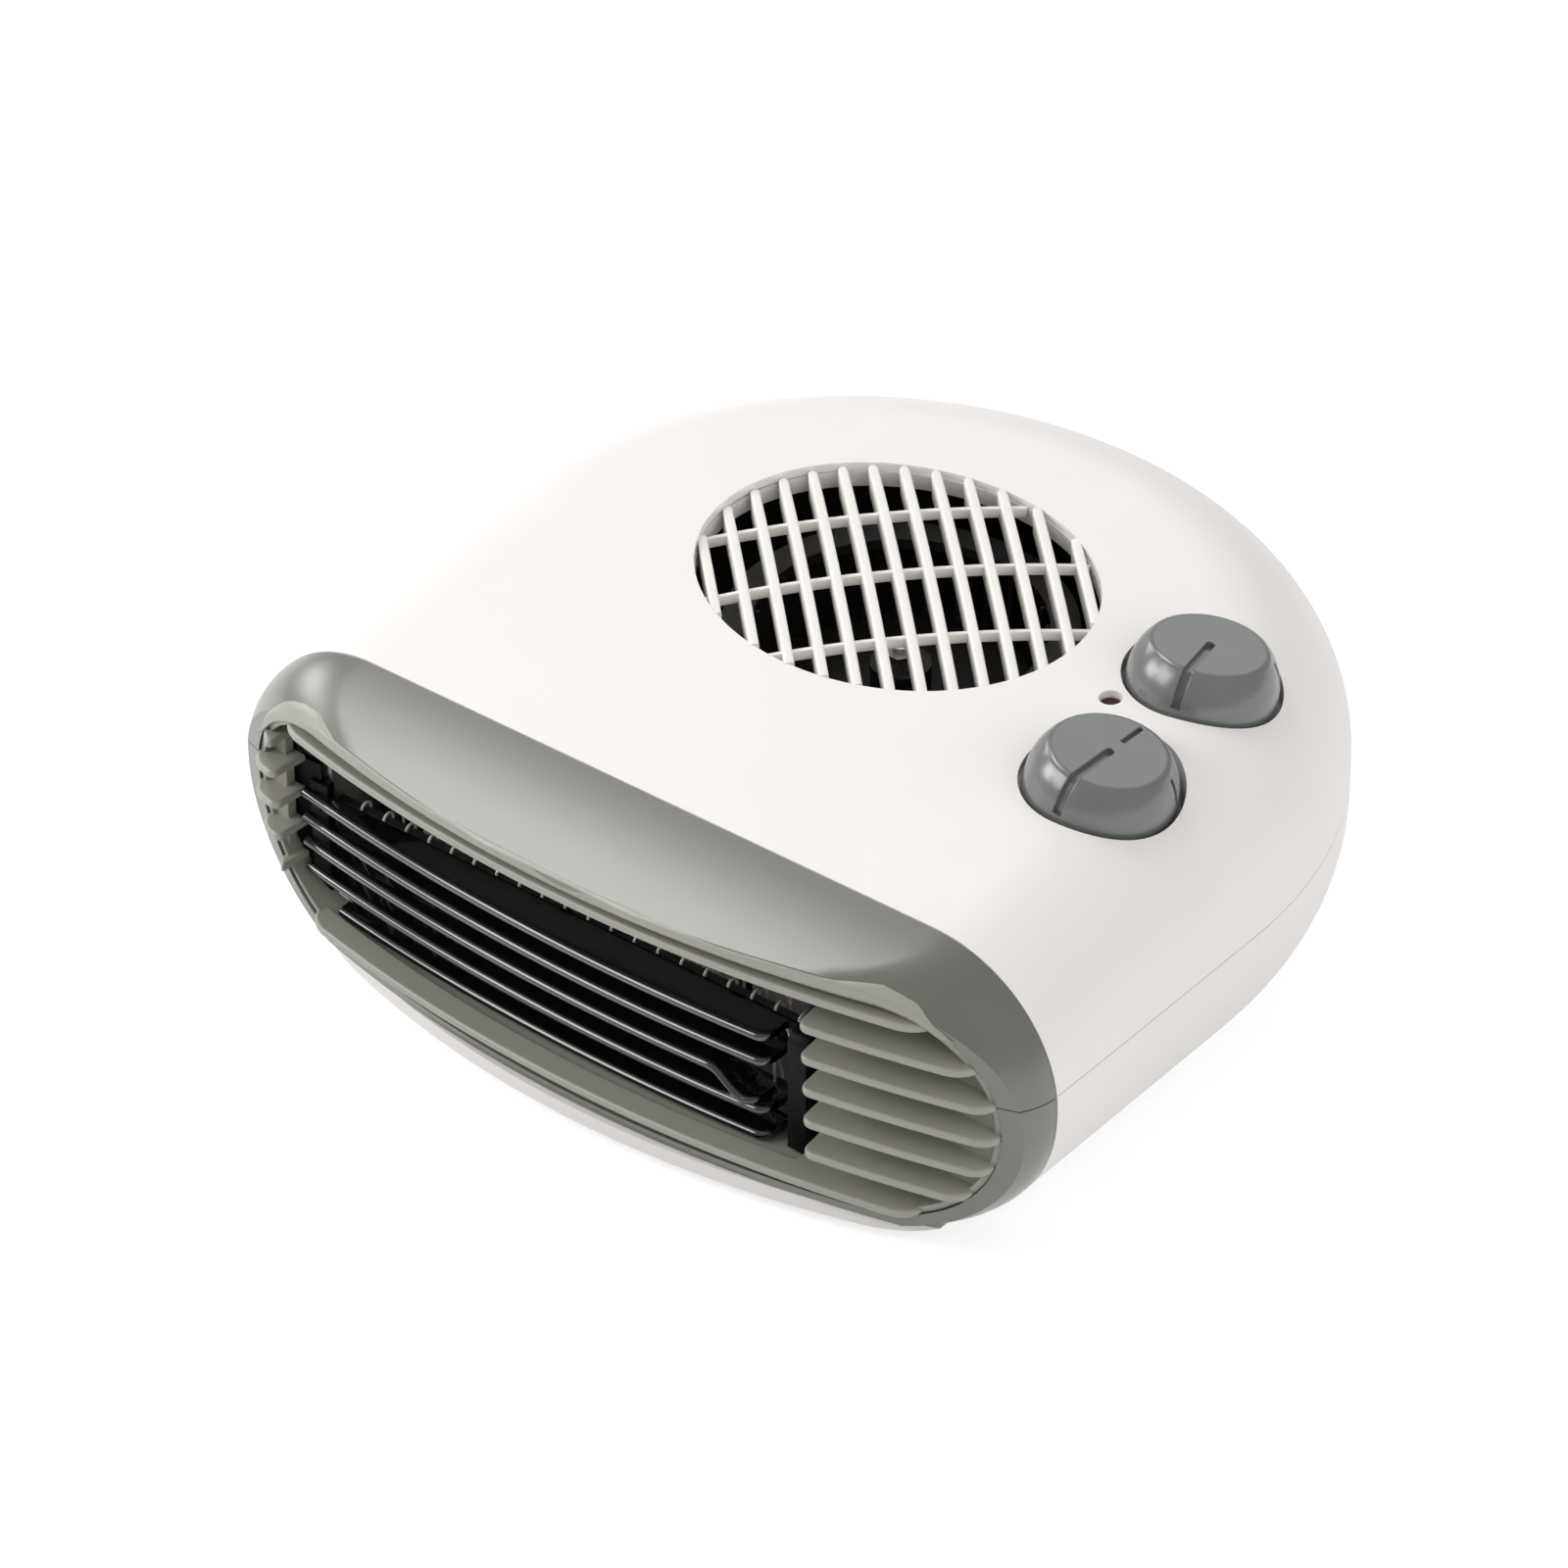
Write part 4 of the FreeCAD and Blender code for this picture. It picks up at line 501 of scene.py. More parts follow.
# intake grille: slanted bars and sunken cross ribs on a domed oval, with its ring and screw ears
intakeGrille = {
    "seat": (-0.003, 0.017, 0.0962372), "tilt": 1.94219,
    "ears": [(0.0, 0.0528, 0), (-0.05352, -0.0264, 0), (0.05352, -0.0264, 0)],
    "lean": {"Bar": 1.0, "Rib": -1.0}, "taper": {"Bar": 0.035, "Rib": 0.01}, "thinnest": 0.02,
    "stations": 61, "edgeShare": 0.22, "edgeSteps": 3, "ringSides": 160, "earSides": 40,
    "sizes": {
        "Half Width": 0.055, "Half Depth": 0.046, "Dome": 0.0045, "Sink": 0.0018, "Slant": math.radians(45),
        "Bar Count": 13, "Bar Pitch": 0.0079, "Bar Width": 0.0026, "Bar Depth": 0.008, "Bar Sink": 0.0,
        "Rib Count": 3, "Rib Pitch": 0.027, "Rib Width": 0.0013, "Rib Depth": 0.003, "Rib Sink": 0.0019,
        "Ring Wall": 0.0038, "Ring Top": -0.0031, "Ring Low": -0.00775,
        "Ear Radius": 0.004, "Ear Height": 0.002,
    },
}


def slatSet(tree, size, spec, kind):
    # slats across the oval at a slant; bars and ribs lean opposite ways and narrow at one end
    half, deep, dome = size["Half Width"], size["Half Depth"], size["Dome"]
    count, pitch = size[kind + " Count"], size[kind + " Pitch"]
    ends = spec["taper"][kind]
    slant = calc(tree, "MULTIPLY", size["Slant"], spec["lean"][kind])
    cosine, sine = calc(tree, "COSINE", slant), calc(tree, "SINE", slant)
    gaps = calc(tree, "SUBTRACT", count, 1.0)
    first = calc(tree, "MULTIPLY", gaps, calc(tree, "MULTIPLY", pitch, -0.5))
    rows = addNode(tree, "GeometryNodeMeshLine", {
        "Count": count, "Start Location": combine(tree, {"Y": first}), "Offset": combine(tree, {"Y": pitch}),
    })
    line = addNode(tree, "GeometryNodeCurvePrimitiveLine", {"Start": (-1, 0, 0), "End": (1, 0, 0)})
    fine = addNode(tree, "GeometryNodeResampleCurve", {"Curve": line.outputs[0], "Count": spec["stations"]})
    laid = addNode(tree, "GeometryNodeInstanceOnPoints", {
        "Points": rows.outputs[0], "Instance": fine.outputs[0],
    })
    curves = addNode(tree, "GeometryNodeRealizeInstances", {"Geometry": laid.outputs[0]})
    place = splitPosition(tree)
    along = calc(tree, "SINE", calc(tree, "MULTIPLY", place["X"], math.pi / 2))
    offset = place["Y"]

    def square(value):
        return calc(tree, "MULTIPLY", value, value)

    # how far along itself a slat runs before it meets the oval
    sinOver, cosOver = calc(tree, "DIVIDE", sine, half), calc(tree, "DIVIDE", cosine, deep)
    a = calc(tree, "ADD", square(sinOver), square(cosOver))
    deepInverse = calc(tree, "DIVIDE", 1.0, square(deep))
    inverse = calc(tree, "SUBTRACT", deepInverse, calc(tree, "DIVIDE", 1.0, square(half)))
    b = calc(tree, "MULTIPLY", calc(tree, "MULTIPLY", sine, cosine), inverse)
    crossSin, crossCos = calc(tree, "DIVIDE", sine, deep), calc(tree, "DIVIDE", cosine, half)
    c = calc(tree, "ADD", square(crossCos), square(crossSin))
    spread = calc(tree, "SUBTRACT", calc(tree, "MULTIPLY", a, c), square(b))
    inside = calc(tree, "SUBTRACT", a, calc(tree, "MULTIPLY", square(offset), spread))
    root = calc(tree, "SQRT", calc(tree, "MAXIMUM", inside, 0.0))
    run = calc(tree, "SUBTRACT", calc(tree, "MULTIPLY", along, root), calc(tree, "MULTIPLY", b, offset))
    run = calc(tree, "DIVIDE", run, a)
    x = calc(tree, "SUBTRACT", calc(tree, "MULTIPLY", offset, cosine), calc(tree, "MULTIPLY", run, sine))
    y = calc(tree, "ADD", calc(tree, "MULTIPLY", offset, sine), calc(tree, "MULTIPLY", run, cosine))
    # the dome is the cap of a ball
    ball = calc(tree, "ADD", square(half), square(dome))
    ball = calc(tree, "DIVIDE", ball, calc(tree, "MULTIPLY", dome, 2.0))
    flat = calc(tree, "ADD", square(x), square(y))
    rise = calc(tree, "SQRT", calc(tree, "SUBTRACT", square(ball), flat))
    rise = calc(tree, "SUBTRACT", calc(tree, "ADD", rise, dome), ball)
    rise = calc(tree, "SUBTRACT", calc(tree, "SUBTRACT", rise, size["Sink"]), size[kind + " Sink"])
    near = calc(tree, "SUBTRACT", along, 1.0 - ends)
    near = calc(tree, "MAXIMUM", calc(tree, "DIVIDE", near, ends), 0.0)
    width = calc(tree, "MAXIMUM", calc(tree, "SUBTRACT", 1.0, square(near)), spec["thinnest"])
    width = calc(tree, "SQRT", width)
    keep = addNode(tree, "GeometryNodeCaptureAttribute", {"Geometry": curves.outputs[0]})
    keep.capture_items.new("FLOAT", "Taper")
    plug(tree, width, keep.inputs["Taper"])
    taper = keep.outputs["Taper"]
    spot = combine(tree, {"X": x, "Y": y, "Z": rise})
    bent = addNode(tree, "GeometryNodeSetPosition", {"Geometry": keep.outputs[0], "Position": spot})
    upright = addNode(tree, "GeometryNodeSetCurveNormal", {"Curve": bent.outputs[0]}, mode="Z_UP")
    sized = addNode(tree, "GeometryNodeSetCurveRadius", {"Curve": upright.outputs[0], "Radius": taper})
    thick, tall = size[kind + " Width"], size[kind + " Depth"]
    outline = addNode(tree, "GeometryNodeCurvePrimitiveQuadrilateral", {"Width": thick, "Height": tall})
    soft = addNode(tree, "GeometryNodeFilletCurve", {
        "Curve": outline.outputs[0], "Radius": calc(tree, "MULTIPLY", thick, spec["edgeShare"]),
        "Count": spec["edgeSteps"],
    }, mode="POLY")
    drop = combine(tree, {"Y": calc(tree, "MULTIPLY", tall, 0.5)})
    hung = addNode(tree, "GeometryNodeTransform", {"Geometry": soft.outputs[0], "Translation": drop})
    swept = addNode(tree, "GeometryNodeCurveToMesh", {
        "Curve": sized.outputs[0], "Profile Curve": hung.outputs[0], "Scale": taper, "Fill Caps": True,
    })
    return swept.outputs[0]


def intakeTree(spec, material):
    tree, size = newTree("slantedIntake", spec["sizes"])
    shapes = [slatSet(tree, size, spec, "Bar"), slatSet(tree, size, spec, "Rib")]
    wall, top, low = size["Ring Wall"], size["Ring Top"], size["Ring Low"]
    middle = calc(tree, "MULTIPLY", calc(tree, "ADD", top, low), 0.5)
    out = calc(tree, "MULTIPLY", wall, 0.5)
    circle = addNode(tree, "GeometryNodeCurvePrimitiveCircle", {
        "Resolution": spec["ringSides"], "Radius": 1.0,
    })
    stretch = combine(tree, {
        "X": calc(tree, "ADD", size["Half Width"], out), "Y": calc(tree, "ADD", size["Half Depth"], out),
        "Z": 1.0,
    })
    oval = addNode(tree, "GeometryNodeTransform", {
        "Geometry": circle.outputs[0], "Translation": combine(tree, {"Z": middle}), "Scale": stretch,
    })
    level = addNode(tree, "GeometryNodeSetCurveNormal", {"Curve": oval.outputs[0]}, mode="Z_UP")
    strip = addNode(tree, "GeometryNodeCurvePrimitiveQuadrilateral", {
        "Width": wall, "Height": calc(tree, "SUBTRACT", top, low),
    })
    ring = addNode(tree, "GeometryNodeCurveToMesh", {
        "Curve": level.outputs[0], "Profile Curve": strip.outputs[0],
    })
    shapes.append(ring.outputs[0])
    disc = addNode(tree, "GeometryNodeMeshCylinder", {
        "Vertices": spec["earSides"], "Radius": size["Ear Radius"], "Depth": size["Ear Height"],
    })
    sunk = calc(tree, "ADD", low, calc(tree, "MULTIPLY", size["Ear Height"], 0.5))
    lowered = addNode(tree, "GeometryNodeTransform", {
        "Geometry": disc.outputs[0], "Translation": combine(tree, {"Z": sunk}),
    })
    ears = addNode(tree, "GeometryNodeInstanceOnPoints", {
        "Points": size["Places"], "Instance": lowered.outputs[0],
    })
    shapes.append(ears.outputs[0])
    endTree(tree, shapes, material)
    return tree


intake = growPiece("intakeBars", intakeTree(intakeGrille, finishes["white_grille"]),
                   intakeGrille["sizes"], intakeGrille["ears"])
intakeTilt = Matrix.Rotation(math.radians(intakeGrille["tilt"]), 4, "X")
intake.data.transform(Matrix.Translation(intakeGrille["seat"]) @ intakeTilt)
settle(intake, "housing", "white_grille", "intake_grille")
print("intake bars grown,", len(intake.data.polygons), "faces")


# outlet guard: bowed slats with a sloped nose, one cranked down to its neighbour, in a frame of
# posts, rails and ribs; the nose is depth and height, its height out of noseHalf
outletGuard = {
    "heights": [0.0456, 0.0379, 0.0302, 0.0225, 0.0148],
    "lefts": [-0.1065, -0.1065, -0.1065, -0.105458, -0.093237],
    "rights": [0.051, 0.051, 0.0475, 0.051, 0.051],
    "drops": [0.0, 0.0, 0.0062, 0.0, 0.0],
    "nose": [(0.0008, -1.2), (0.0002, -0.9), (0.0, -0.3), (0.00015, 0.2), (0.00042, 0.58),
             (0.00115, 1.05), (0.0018, 1.2)],
    "noseHalf": 1.2, "thickness": 0.0024, "blankDepth": 0.02,
    "stations": 120, "tipStations": 18, "tipShare": 0.03,
    "sizes": {
        "Front": -0.1075, "Back": -0.096, "Bow": 0.6002, "Tip Round": 0.0035,
        "Crank Start": 0.0335, "Crank Run": 0.0105,
    },
    "post": ((0.056, -0.103, 0.0136), (0.062, -0.093, 0.0496)),
    "frame": [
        ((-0.10525, -0.096, 0.0136), (-0.09925, -0.093, 0.0496)),
        ((-0.10225, -0.096, 0.0444), (0.062, -0.095, 0.0468)),
        ((-0.0925, -0.096, 0.0137), (0.062, -0.095, 0.016)),
        ((-0.077625, -0.0969, 0.0136), (-0.072625, -0.095, 0.0468)),
        ((-0.022625, -0.0969, 0.0136), (-0.017625, -0.095, 0.0468)),
        ((0.032375, -0.0969, 0.0136), (0.037375, -0.095, 0.0468)),
        ((0.056, -0.09475, 0.03455), (0.084, -0.093, 0.05455)),
        ((-0.115, -0.09475, 0.03455), (-0.10225, -0.093, 0.05455)),
    ],
    "browRound": 0.004, "browSteps": 8, "edgeRound": 0.0004, "edgeSteps": 2, "edgeAngle": 30,
}


def slatBlank(spec):
    # a straight slat: x runs 0 to 1 along it, y is the depth behind its nose, z its height
    half, deep, tip = spec["thickness"] / 2, spec["blankDepth"], spec["tipShare"]
    profile = [(w, h * half / spec["noseHalf"]) for w, h in spec["nose"]] + [(deep, half), (deep, -half)]
    stations = [(1 - tip) * i / spec["stations"] for i in range(spec["stations"])]
    for i in range(spec["tipStations"] + 1):
        stations.append(1 - tip + tip * math.sin(i * math.pi / 2 / spec["tipStations"]))
    points = [(s, w, h) for s in stations for w, h in profile]
    n = len(profile)
    faces = [list(range(n)), [len(points) - 1 - i for i in range(n)]]
    for k in range(len(stations) - 1):
        for i in range(n):
            j = (i + 1) % n
            faces.append([k * n + i, (k + 1) * n + i, (k + 1) * n + j, k * n + j])
    form = bmesh.new()
    corners = [form.verts.new(p) for p in points]
    for face in faces:
        form.faces.new([corners[i] for i in face])
    bmesh.ops.recalc_face_normals(form, faces=form.faces)
    return formObject("slatBlank", form)


def slatTree(spec, blank, material):
    tree, size = newTree("bowedSlats", spec["sizes"])
    shape = addNode(tree, "GeometryNodeObjectInfo", {"Object": blank})
    laid = addNode(tree, "GeometryNodeInstanceOnPoints", {
        "Points": size["Places"], "Instance": shape.outputs["Geometry"],
    })
    slats = addNode(tree, "GeometryNodeRealizeInstances", {"Geometry": laid.outputs[0]})
    place = splitPosition(tree)
    left, right = mark(tree, "left"), mark(tree, "right")
    length = calc(tree, "SUBTRACT", right, left)
    x = calc(tree, "ADD", left, calc(tree, "MULTIPLY", place["X"], length))
    bow, tip = size["Bow"], size["Tip Round"]
    chord = calc(tree, "SUBTRACT", calc(tree, "MULTIPLY", bow, bow), calc(tree, "MULTIPLY", x, x))
    nose = calc(tree, "SUBTRACT", calc(tree, "ADD", size["Front"], bow), calc(tree, "SQRT", chord))
    past = calc(tree, "SUBTRACT", calc(tree, "ADD", x, tip), right)
    past = calc(tree, "MAXIMUM", past, 0.0)
    rest = calc(tree, "SUBTRACT", calc(tree, "MULTIPLY", tip, tip), calc(tree, "MULTIPLY", past, past))
    turned = calc(tree, "SUBTRACT", tip, calc(tree, "SQRT", calc(tree, "MAXIMUM", rest, 0.0)))
    y = calc(tree, "ADD", calc(tree, "ADD", nose, turned), place["Y"])
    y = calc(tree, "MINIMUM", y, size["Back"])
    bend = addNode(tree, "ShaderNodeMapRange", {
        "Value": x, "From Min": size["Crank Start"],
        "From Max": calc(tree, "ADD", size["Crank Start"], size["Crank Run"]),
        "To Min": 0.0, "To Max": mark(tree, "drop"),
    }, interpolation_type="SMOOTHSTEP")
    z = calc(tree, "SUBTRACT", place["Z"], bend.outputs["Result"])
    spot = combine(tree, {"X": x, "Y": y, "Z": z})
    bent = addNode(tree, "GeometryNodeSetPosition", {"Geometry": slats.outputs[0], "Position": spot})
    endTree(tree, [bent.outputs[0]], material)
    return tree


def guardFrameForm(spec):
    form = bmesh.new()

    def addBox(low, high):
        for v in bmesh.ops.create_cube(form, size=1.0)["verts"]:
            v.co = Vector([low[k] + (v.co[k] + 0.5) * (high[k] - low[k]) for k in range(3)])

    low, high = spec["post"]
    addBox(low, high)
    front = [v for v in form.verts if abs(v.co.y - low[1]) < closeBy]
    browCorners = [v for v in front if abs(v.co.z - high[2]) < closeBy]
    brow = [e for e in form.edges if all(v in browCorners for v in e.verts)]
    bmesh.ops.bevel(form, geom=brow, offset=spec["browRound"], segments=spec["browSteps"],
                    profile=0.5, affect="EDGES")
    for low, high in spec["frame"]:
        addBox(low, high)
    corners = [e for e in form.edges if e.calc_face_angle() > math.radians(spec["edgeAngle"])]
    bmesh.ops.bevel(form, geom=corners, offset=spec["edgeRound"], segments=spec["edgeSteps"],
                    profile=0.5, affect="EDGES", clamp_overlap=True)
    return form


barBlank = slatBlank(outletGuard)
barMarks = {"left": outletGuard["lefts"], "right": outletGuard["rights"], "drop": outletGuard["drops"]}
guardBars = growPiece("guardBars", slatTree(outletGuard, barBlank, finishes["guard_black"]),
                      outletGuard["sizes"], [(0, 0, h) for h in outletGuard["heights"]], marks=barMarks)
bpy.data.objects.remove(barBlank)
settle(guardBars, "housing", "guard_black", "outlet_guard")
guardFrame = formObject("guardFrame", guardFrameForm(outletGuard))
smoothOver(guardFrame.data, creaseAngle)
guardFrame.data.materials.append(finishes["guard_dull"])
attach(guardFrame, "housing")
print("guard built,", len(guardBars.data.polygons), "faces")


# wound pieces: a wire swept along its path
def sweptWire(name, sizes, material):
    tree, size = newTree(name, sizes)
    path = addNode(tree, "GeometryNodeMeshToCurve", {"Mesh": size["Places"]})
    section = addNode(tree, "GeometryNodeCurvePrimitiveCircle", {
        "Resolution": size["Sides"], "Radius": size["Wire Radius"],
    })
    swept = addNode(tree, "GeometryNodeCurveToMesh", {
        "Curve": path.outputs[0], "Profile Curve": section.outputs[0], "Fill Caps": True,
    })
    endTree(tree, [swept.outputs[0]], material)
    return tree


heaterWire = {
    "frames": {"heater_winding_front": -0.090, "heater_winding_rear": -0.074},
    "low": 0.016, "top": 0.043, "bend": 0.0019, "turns": 20, "pitch": 0.0075, "firstX": -0.0915,
    "slopeHalf": 0.0119, "leadTurn": 0.003, "plates": (-0.1005, 0.060),
    "bendSteps": 10, "leadSteps": 6, "slopeSteps": 12,
    "sizes": {"Wire Radius": 0.0004, "Sides": 8},
}


def windingPath(spec, y):
    # up the front of the frame, over its top, down behind with a side step, and under
    bend, low, top, lead = spec["bend"], spec["low"], spec["top"], spec["leadTurn"]
    turns, pitch, firstX, slopeSteps = spec["turns"], spec["pitch"], spec["firstX"], spec["slopeSteps"]
    middle = (low + top) / 2
    lastX = firstX + (turns - 1) * pitch
    half = [math.pi * k / spec["bendSteps"] for k in range(spec["bendSteps"] + 1)]
    quarter = [math.pi * k / (2 * spec["leadSteps"]) for k in range(spec["leadSteps"] + 1)]
    points = [(spec["plates"][0], y - bend, middle - lead)]
    points += [(firstX - lead + lead * math.sin(a), y - bend, middle - lead * math.cos(a)) for a in quarter]
    for turn in range(turns):
        x = firstX + turn * pitch
        points += [(x, y - bend * math.cos(a), top + bend * math.sin(a)) for a in half]
        if turn == turns - 1:
            break
        for k in range(slopeSteps + 1):
            t = k / slopeSteps
            points.append((x + smoothstep(t) * pitch, y + bend, middle + spec["slopeHalf"] * (1 - 2 * t)))
        x += pitch
        points += [(x, y + bend * math.cos(a), low - bend * math.sin(a)) for a in half]
    points += [(lastX + lead - lead * math.cos(a), y + bend, middle - lead * math.sin(a)) for a in quarter]
    points.append((spec["plates"][1], y + bend, middle - lead))
    return points


for stood, frameY in heaterWire["frames"].items():
    path = windingPath(heaterWire, frameY)
    wireTree = sweptWire("heaterWire", heaterWire["sizes"], finishes["resistance_wire"])
    winding = growPiece(stood + "Wire", wireTree, heaterWire["sizes"], path,
                        edges=[(k, k + 1) for k in range(len(path) - 1)])
    settle(winding, "housing", "resistance_wire", stood)
print("heater wire wound")


motorCoil = {
    "y": (0.038, 0.069), "z": (0.012, 0.052), "halfLength": 0.016, "build": 0.010, "halfPitch": 0.0005,
    "cornerRound": 0.004, "tightest": 0.0006, "cornerSteps": 6,
    "sizes": {"Wire Radius": 0.00052, "Sides": 6},
}


def coilTurns(spec):
    # one outer layer along the leg and the nested turns that show at both ends
    halfPitch, radius, steps = spec["halfPitch"], spec["sizes"]["Wire Radius"], spec["cornerSteps"]
    reach = spec["halfLength"] - radius
    along = round(reach / halfPitch)
    turns = [(-reach + 2 * reach * k / along, radius) for k in range(along + 1)]
    layers = round(spec["build"] / (2 * halfPitch)) - 1
    turns += [(x, radius + 2 * halfPitch * k) for x in (-reach, reach) for k in range(1, layers)]
    points, edges = [], []
    for x, inset in turns:
        cornerRound = max(spec["cornerRound"] - inset, spec["tightest"])
        yLow, yHigh = spec["y"][0] + inset + cornerRound, spec["y"][1] - inset - cornerRound
        zLow, zHigh = spec["z"][0] + inset + cornerRound, spec["z"][1] - inset - cornerRound
        first = len(points)
        for corner, (y, z) in enumerate([(yHigh, zHigh), (yLow, zHigh), (yLow, zLow), (yHigh, zLow)]):
            for k in range(steps + 1):
                a = math.pi / 2 * (corner + k / steps)
                points.append((x, y + cornerRound * math.cos(a), z + cornerRound * math.sin(a)))
        count = len(points) - first
        edges += [(first + k, first + (k + 1) % count) for k in range(count)]
    return points, edges


coilPoints, coilEdges = coilTurns(motorCoil)
coilTree = sweptWire("coilWire", motorCoil["sizes"], finishes["coil_copper"])
coil = growPiece("motorCoilTurns", coilTree, motorCoil["sizes"], coilPoints, edges=coilEdges)
settle(coil, "housing", "coil_copper", "motor_coil")
print("coil wound,", len(coil.data.polygons), "faces")


# turned pieces: a lathed blank, its profile in millimetres, set at every place
perMetre = 1000


def latheForm(profile, segments):
    form = bmesh.new()
    rings = []
    for radius, z in [(r / perMetre, h / perMetre) for r, h in profile]:
        if radius == 0:
            rings.append([form.verts.new((0, 0, z))] * segments)
            continue
        angles = [2 * math.pi * k / segments for k in range(segments)]
        rings.append([form.verts.new((radius * math.cos(a), radius * math.sin(a), z)) for a in angles])
    for lower, upper in zip(rings, rings[1:]):
        for k in range(segments):
            j = (k + 1) % segments
            corners = [lower[k], lower[j], upper[j], upper[k]]
            form.faces.new([v for i, v in enumerate(corners) if v not in corners[:i]])
    bmesh.ops.recalc_face_normals(form, faces=form.faces)
    return form


def setOutTree(name, sizes, blank, material):
    tree, size = newTree(name, sizes)
    shape = addNode(tree, "GeometryNodeObjectInfo", {"Object": blank})
    spin = combine(tree, {"Z": mark(tree, "turn")})
    laid = addNode(tree, "GeometryNodeInstanceOnPoints", {
        "Points": size["Places"], "Instance": shape.outputs["Geometry"],
        "Rotation": spin, "Scale": size["Scale"],
    })
    endTree(tree, [laid.outputs[0]], material)
    return tree


def setOut(name, treeName, spec, blank, material):
    tree = setOutTree(treeName, spec["sizes"], blank, material)
    piece = growPiece(name, tree, spec["sizes"], spec["places"], marks={"turn": spec["turns"]})
    bpy.data.objects.remove(blank)
    return piece


rubberFeet = {
    "places": [(-0.072, -0.076, 0), (0.072, -0.076, 0), (-0.045, 0.045, 0), (0.045, 0.045, 0)],
    "turns": [0.0, 0.5, 1.0, 1.5],
    "stands": ["foot_front_left", "foot_front_right", "foot_rear_left", "foot_rear_right"],
    "profile": [
        (0, 0.6), (1.4, 0.6), (1.7, 0.1), (1.9, 0), (2.7, 0), (2.9, 0.1), (3.2, 0.7), (3.9, 0.7),
        (4.2, 0.1), (4.4, 0), (5.2, 0), (5.4, 0.1), (5.6, 0.5), (6.1, 0.5), (6.3, 0.1), (6.5, 0),
        (6.9, 0.02), (7.4, 0.3), (7.8, 0.8), (8, 1.4), (8, 3.7), (7.8, 4), (3, 4), (3, 8.6), (2.6, 9),
        (0, 9),
    ],
    "sides": 64, "sizes": {"Scale": 1.0},
}
footBlank = formObject("footBlank", latheForm(rubberFeet["profile"], rubberFeet["sides"]))
feet = setOut("rubberFeet", "footSet", rubberFeet, footBlank, finishes["foot_rubber"])
settle(feet, "housing", "foot_rubber", *rubberFeet["stands"])
print("feet set")


housingScrews = {
    "places": [(-0.114, -0.045, 0.030), (0.114, -0.045, 0.030), (-0.062, 0.078, 0.030),
               (0.062, 0.078, 0.030)],
    "turns": [0.3, 1.1, 0.7, 0.1],
    "profile": [
        (0, -2.4), (1.2, -2.38), (2.0, -2.2), (2.6, -1.8), (2.92, -1.2), (3, -0.6), (3, 0), (1.5, 0.02),
        (1.5, 0.8),
    ],
    "shank": 1.5, "threadPitch": 0.7, "threadDepth": 0.22,
    "tipLength": 1.4, "tipRadius": 0.5, "tipRound": 0.1,
    "recess": {"arm": 1.7, "width": 0.55, "depth": 1.3, "above": 0.2, "narrowed": 0.45},
    "sides": 40, "sizes": {"Scale": 1.0},
}


def crossScrew(name, spec, length):
    shank, pitch, cut = spec["shank"], spec["threadPitch"], spec["recess"]
    profile = list(spec["profile"])
    headTop, z = profile[0][1], profile[-1][1]
    while z + pitch < length - spec["tipLength"]:
        profile.append((shank - spec["threadDepth"], z + pitch / 2))
        z += pitch
        profile.append((shank, z))
    profile += [(spec["tipRadius"], length - spec["tipRound"]), (0, length)]
    blank = formObject(name, latheForm(profile, spec["sides"]))
    for turn in (0, math.pi / 2):
        form = bmesh.new()
        for v in bmesh.ops.create_cube(form, size=1.0)["verts"]:
            # narrower at the bottom of the recess
            share = 1.0 if v.co.z < 0 else cut["narrowed"]
            x, y = v.co.x * 2 * cut["arm"] * share, v.co.y * 2 * cut["width"] * share
            z = headTop - cut["above"] + (v.co.z + 0.5) * (cut["depth"] + cut["above"])
            v.co = Matrix.Rotation(turn, 3, "Z") @ Vector((x, y, z)) / perMetre
        bmesh.ops.recalc_face_normals(form, faces=form.faces)
        tool = formObject("recessTool", form)
        carve = blank.modifiers.new("recess", "BOOLEAN")
        carve.operation, carve.solver, carve.object = "DIFFERENCE", "EXACT", tool
        applyModifiers(blank)
        bpy.data.objects.remove(tool)
    return blank


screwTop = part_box("housing_screws")[1][2]
screwSeat = housingScrews["places"][0][2]
screwBlank = crossScrew("screwBlank", housingScrews, (screwTop - screwSeat) * perMetre)
screws = setOut("crossScrews", "screwSet", housingScrews, screwBlank, finishes["screw_steel"])
settle(screws, "housing", "screw_steel", "housing_screws")
print("screws set,", len(screws.data.polygons), "faces")


# brow of the mouth: a pale strip rolled out over the hood's lower edge, broad at both ends;
# its rise is in millimetres, the rest in metres
mouthBrow = {
    "ends": (-0.1165, 0.1085), "stations": 220, "levels": 10, "evened": 3, "crease": 50,
    "probe": (0.056, 0.0865, 0.0002), "probeFrom": -0.3, "inside": -0.100,
    "rise": [(-0.1165, 0.4), (-0.112, 3.0), (-0.104, 4.2), (-0.094, 4.0), (-0.075, 3.0), (-0.045, 2.1),
             (0.0, 1.8), (0.045, 2.0), (0.070, 2.8), (0.088, 3.6), (0.098, 3.2), (0.105, 1.6),
             (0.1085, 0.3)],
    "proud": 0.0005, "rollRate": 5, "clear": 0.00012, "front": -0.122499,
    "hang": 0.0009, "depth": 0.0016, "lip": [(0.0001, 0.6), (0.0006, 1.0)],
}


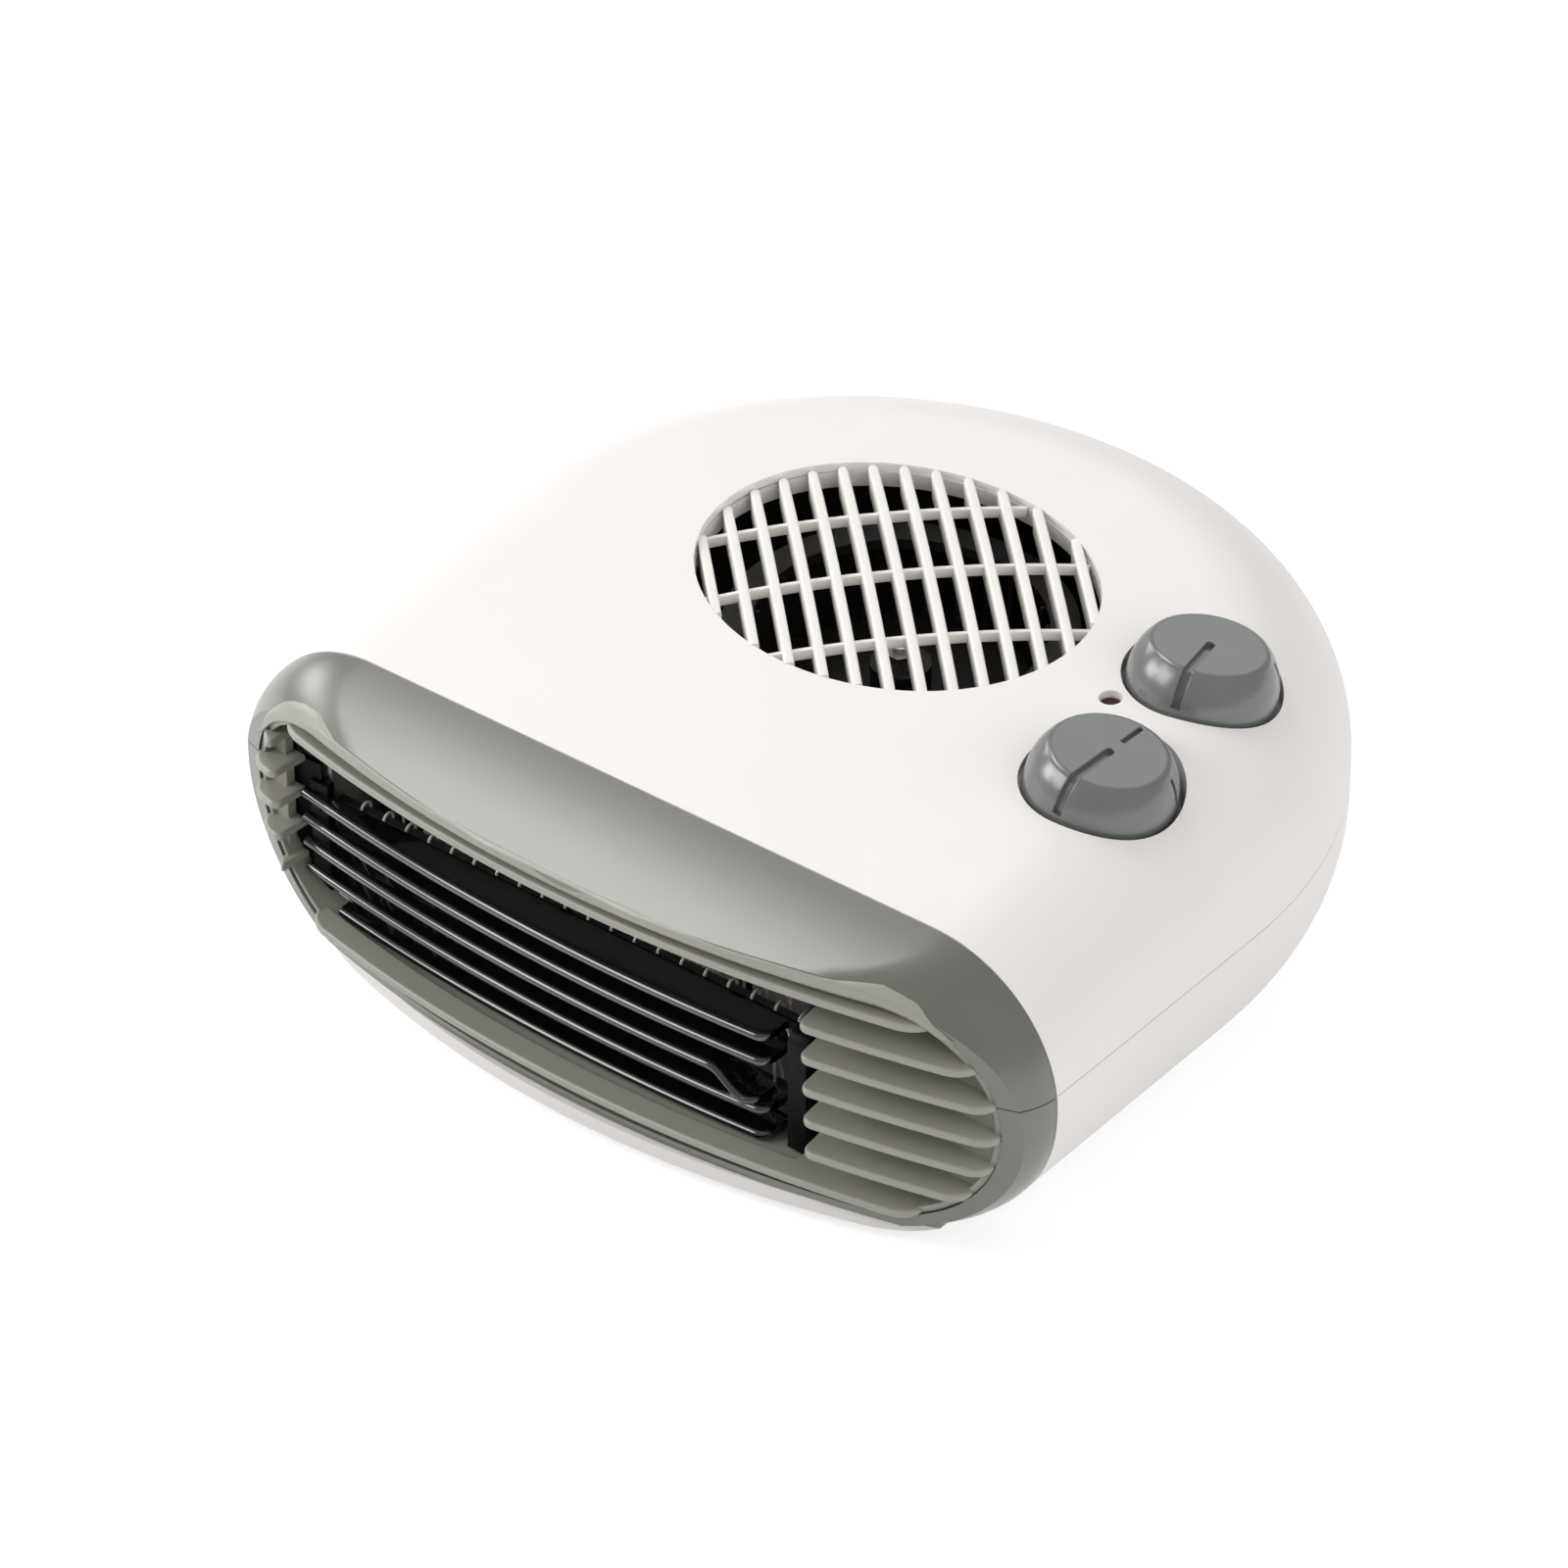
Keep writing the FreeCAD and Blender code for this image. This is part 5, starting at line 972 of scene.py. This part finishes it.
def eased(table, x):
    for (x0, v0), (x1, v1) in zip(table, table[1:]):
        if x <= x1:
            t = min(max((x - x0) / (x1 - x0), 0.0), 1.0)
            return v0 + (v1 - v0) * smoothstep(t)
    return table[-1][1]


def browForm(spec, hood):
    skin = BVHTree.FromObject(hood, bpy.context.evaluated_depsgraph_get())

    def skinY(x, z):
        hit = skin.ray_cast(Vector((x, spec["probeFrom"], z)), Vector((0, 1, 0)))[0]
        return hit.y if hit is not None and hit.y < spec["inside"] else None

    low, high, step = spec["probe"]
    left, right = spec["ends"]
    rows = []
    for k in range(spec["stations"] + 1):
        x = left + (right - left) * k / spec["stations"]
        z = low
        while z < high and skinY(x, z) is None:
            z += step
        if z < high:
            rows.append((x, z))
    form = bmesh.new()
    rings = []
    reach, hang, depth = spec["evened"], spec["hang"], spec["depth"]
    for k, (x, z) in enumerate(rows):
        # the edge is evened over its neighbours, so that the probe's steps don't show
        near = rows[max(k - reach, 0):k + reach + 1]
        edge = max(sum(r[1] for r in near) / len(near), z)
        top = edge + eased(spec["rise"], x) / perMetre
        ring = []
        for n in range(spec["levels"] + 1):
            t = n / spec["levels"]
            level = top - (top - edge) * t
            y = skinY(x, max(level, z + step))
            lift = spec["proud"] * min(t * spec["rollRate"], 1.0) + spec["clear"]
            ring.append((x, max(y - lift, spec["front"]), level))
        lipY = ring[-1][1]
        ring += [(x, lipY + back, edge - hang * share) for back, share in spec["lip"]]
        ring += [(x, lipY + depth, edge - hang), (x, lipY + depth, edge), (x, ring[0][1] + depth, top)]
        rings.append([form.verts.new(c) for c in ring])
    for first, second in zip(rings, rings[1:]):
        for k in range(len(first)):
            j = (k + 1) % len(first)
            form.faces.new([first[k], second[k], second[j], first[j]])
    form.faces.new(rings[0])
    form.faces.new(rings[-1][::-1])
    bmesh.ops.recalc_face_normals(form, faces=form.faces)
    return form


brow = formObject("mouthBrow", browForm(mouthBrow, nodes["upper_bezel"]))
smoothOver(brow.data, mouthBrow["crease"])
brow.data.materials.append(finishes["louvre_grey"])
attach(brow, "housing")
print("brow rolled,", len(brow.data.polygons), "faces")
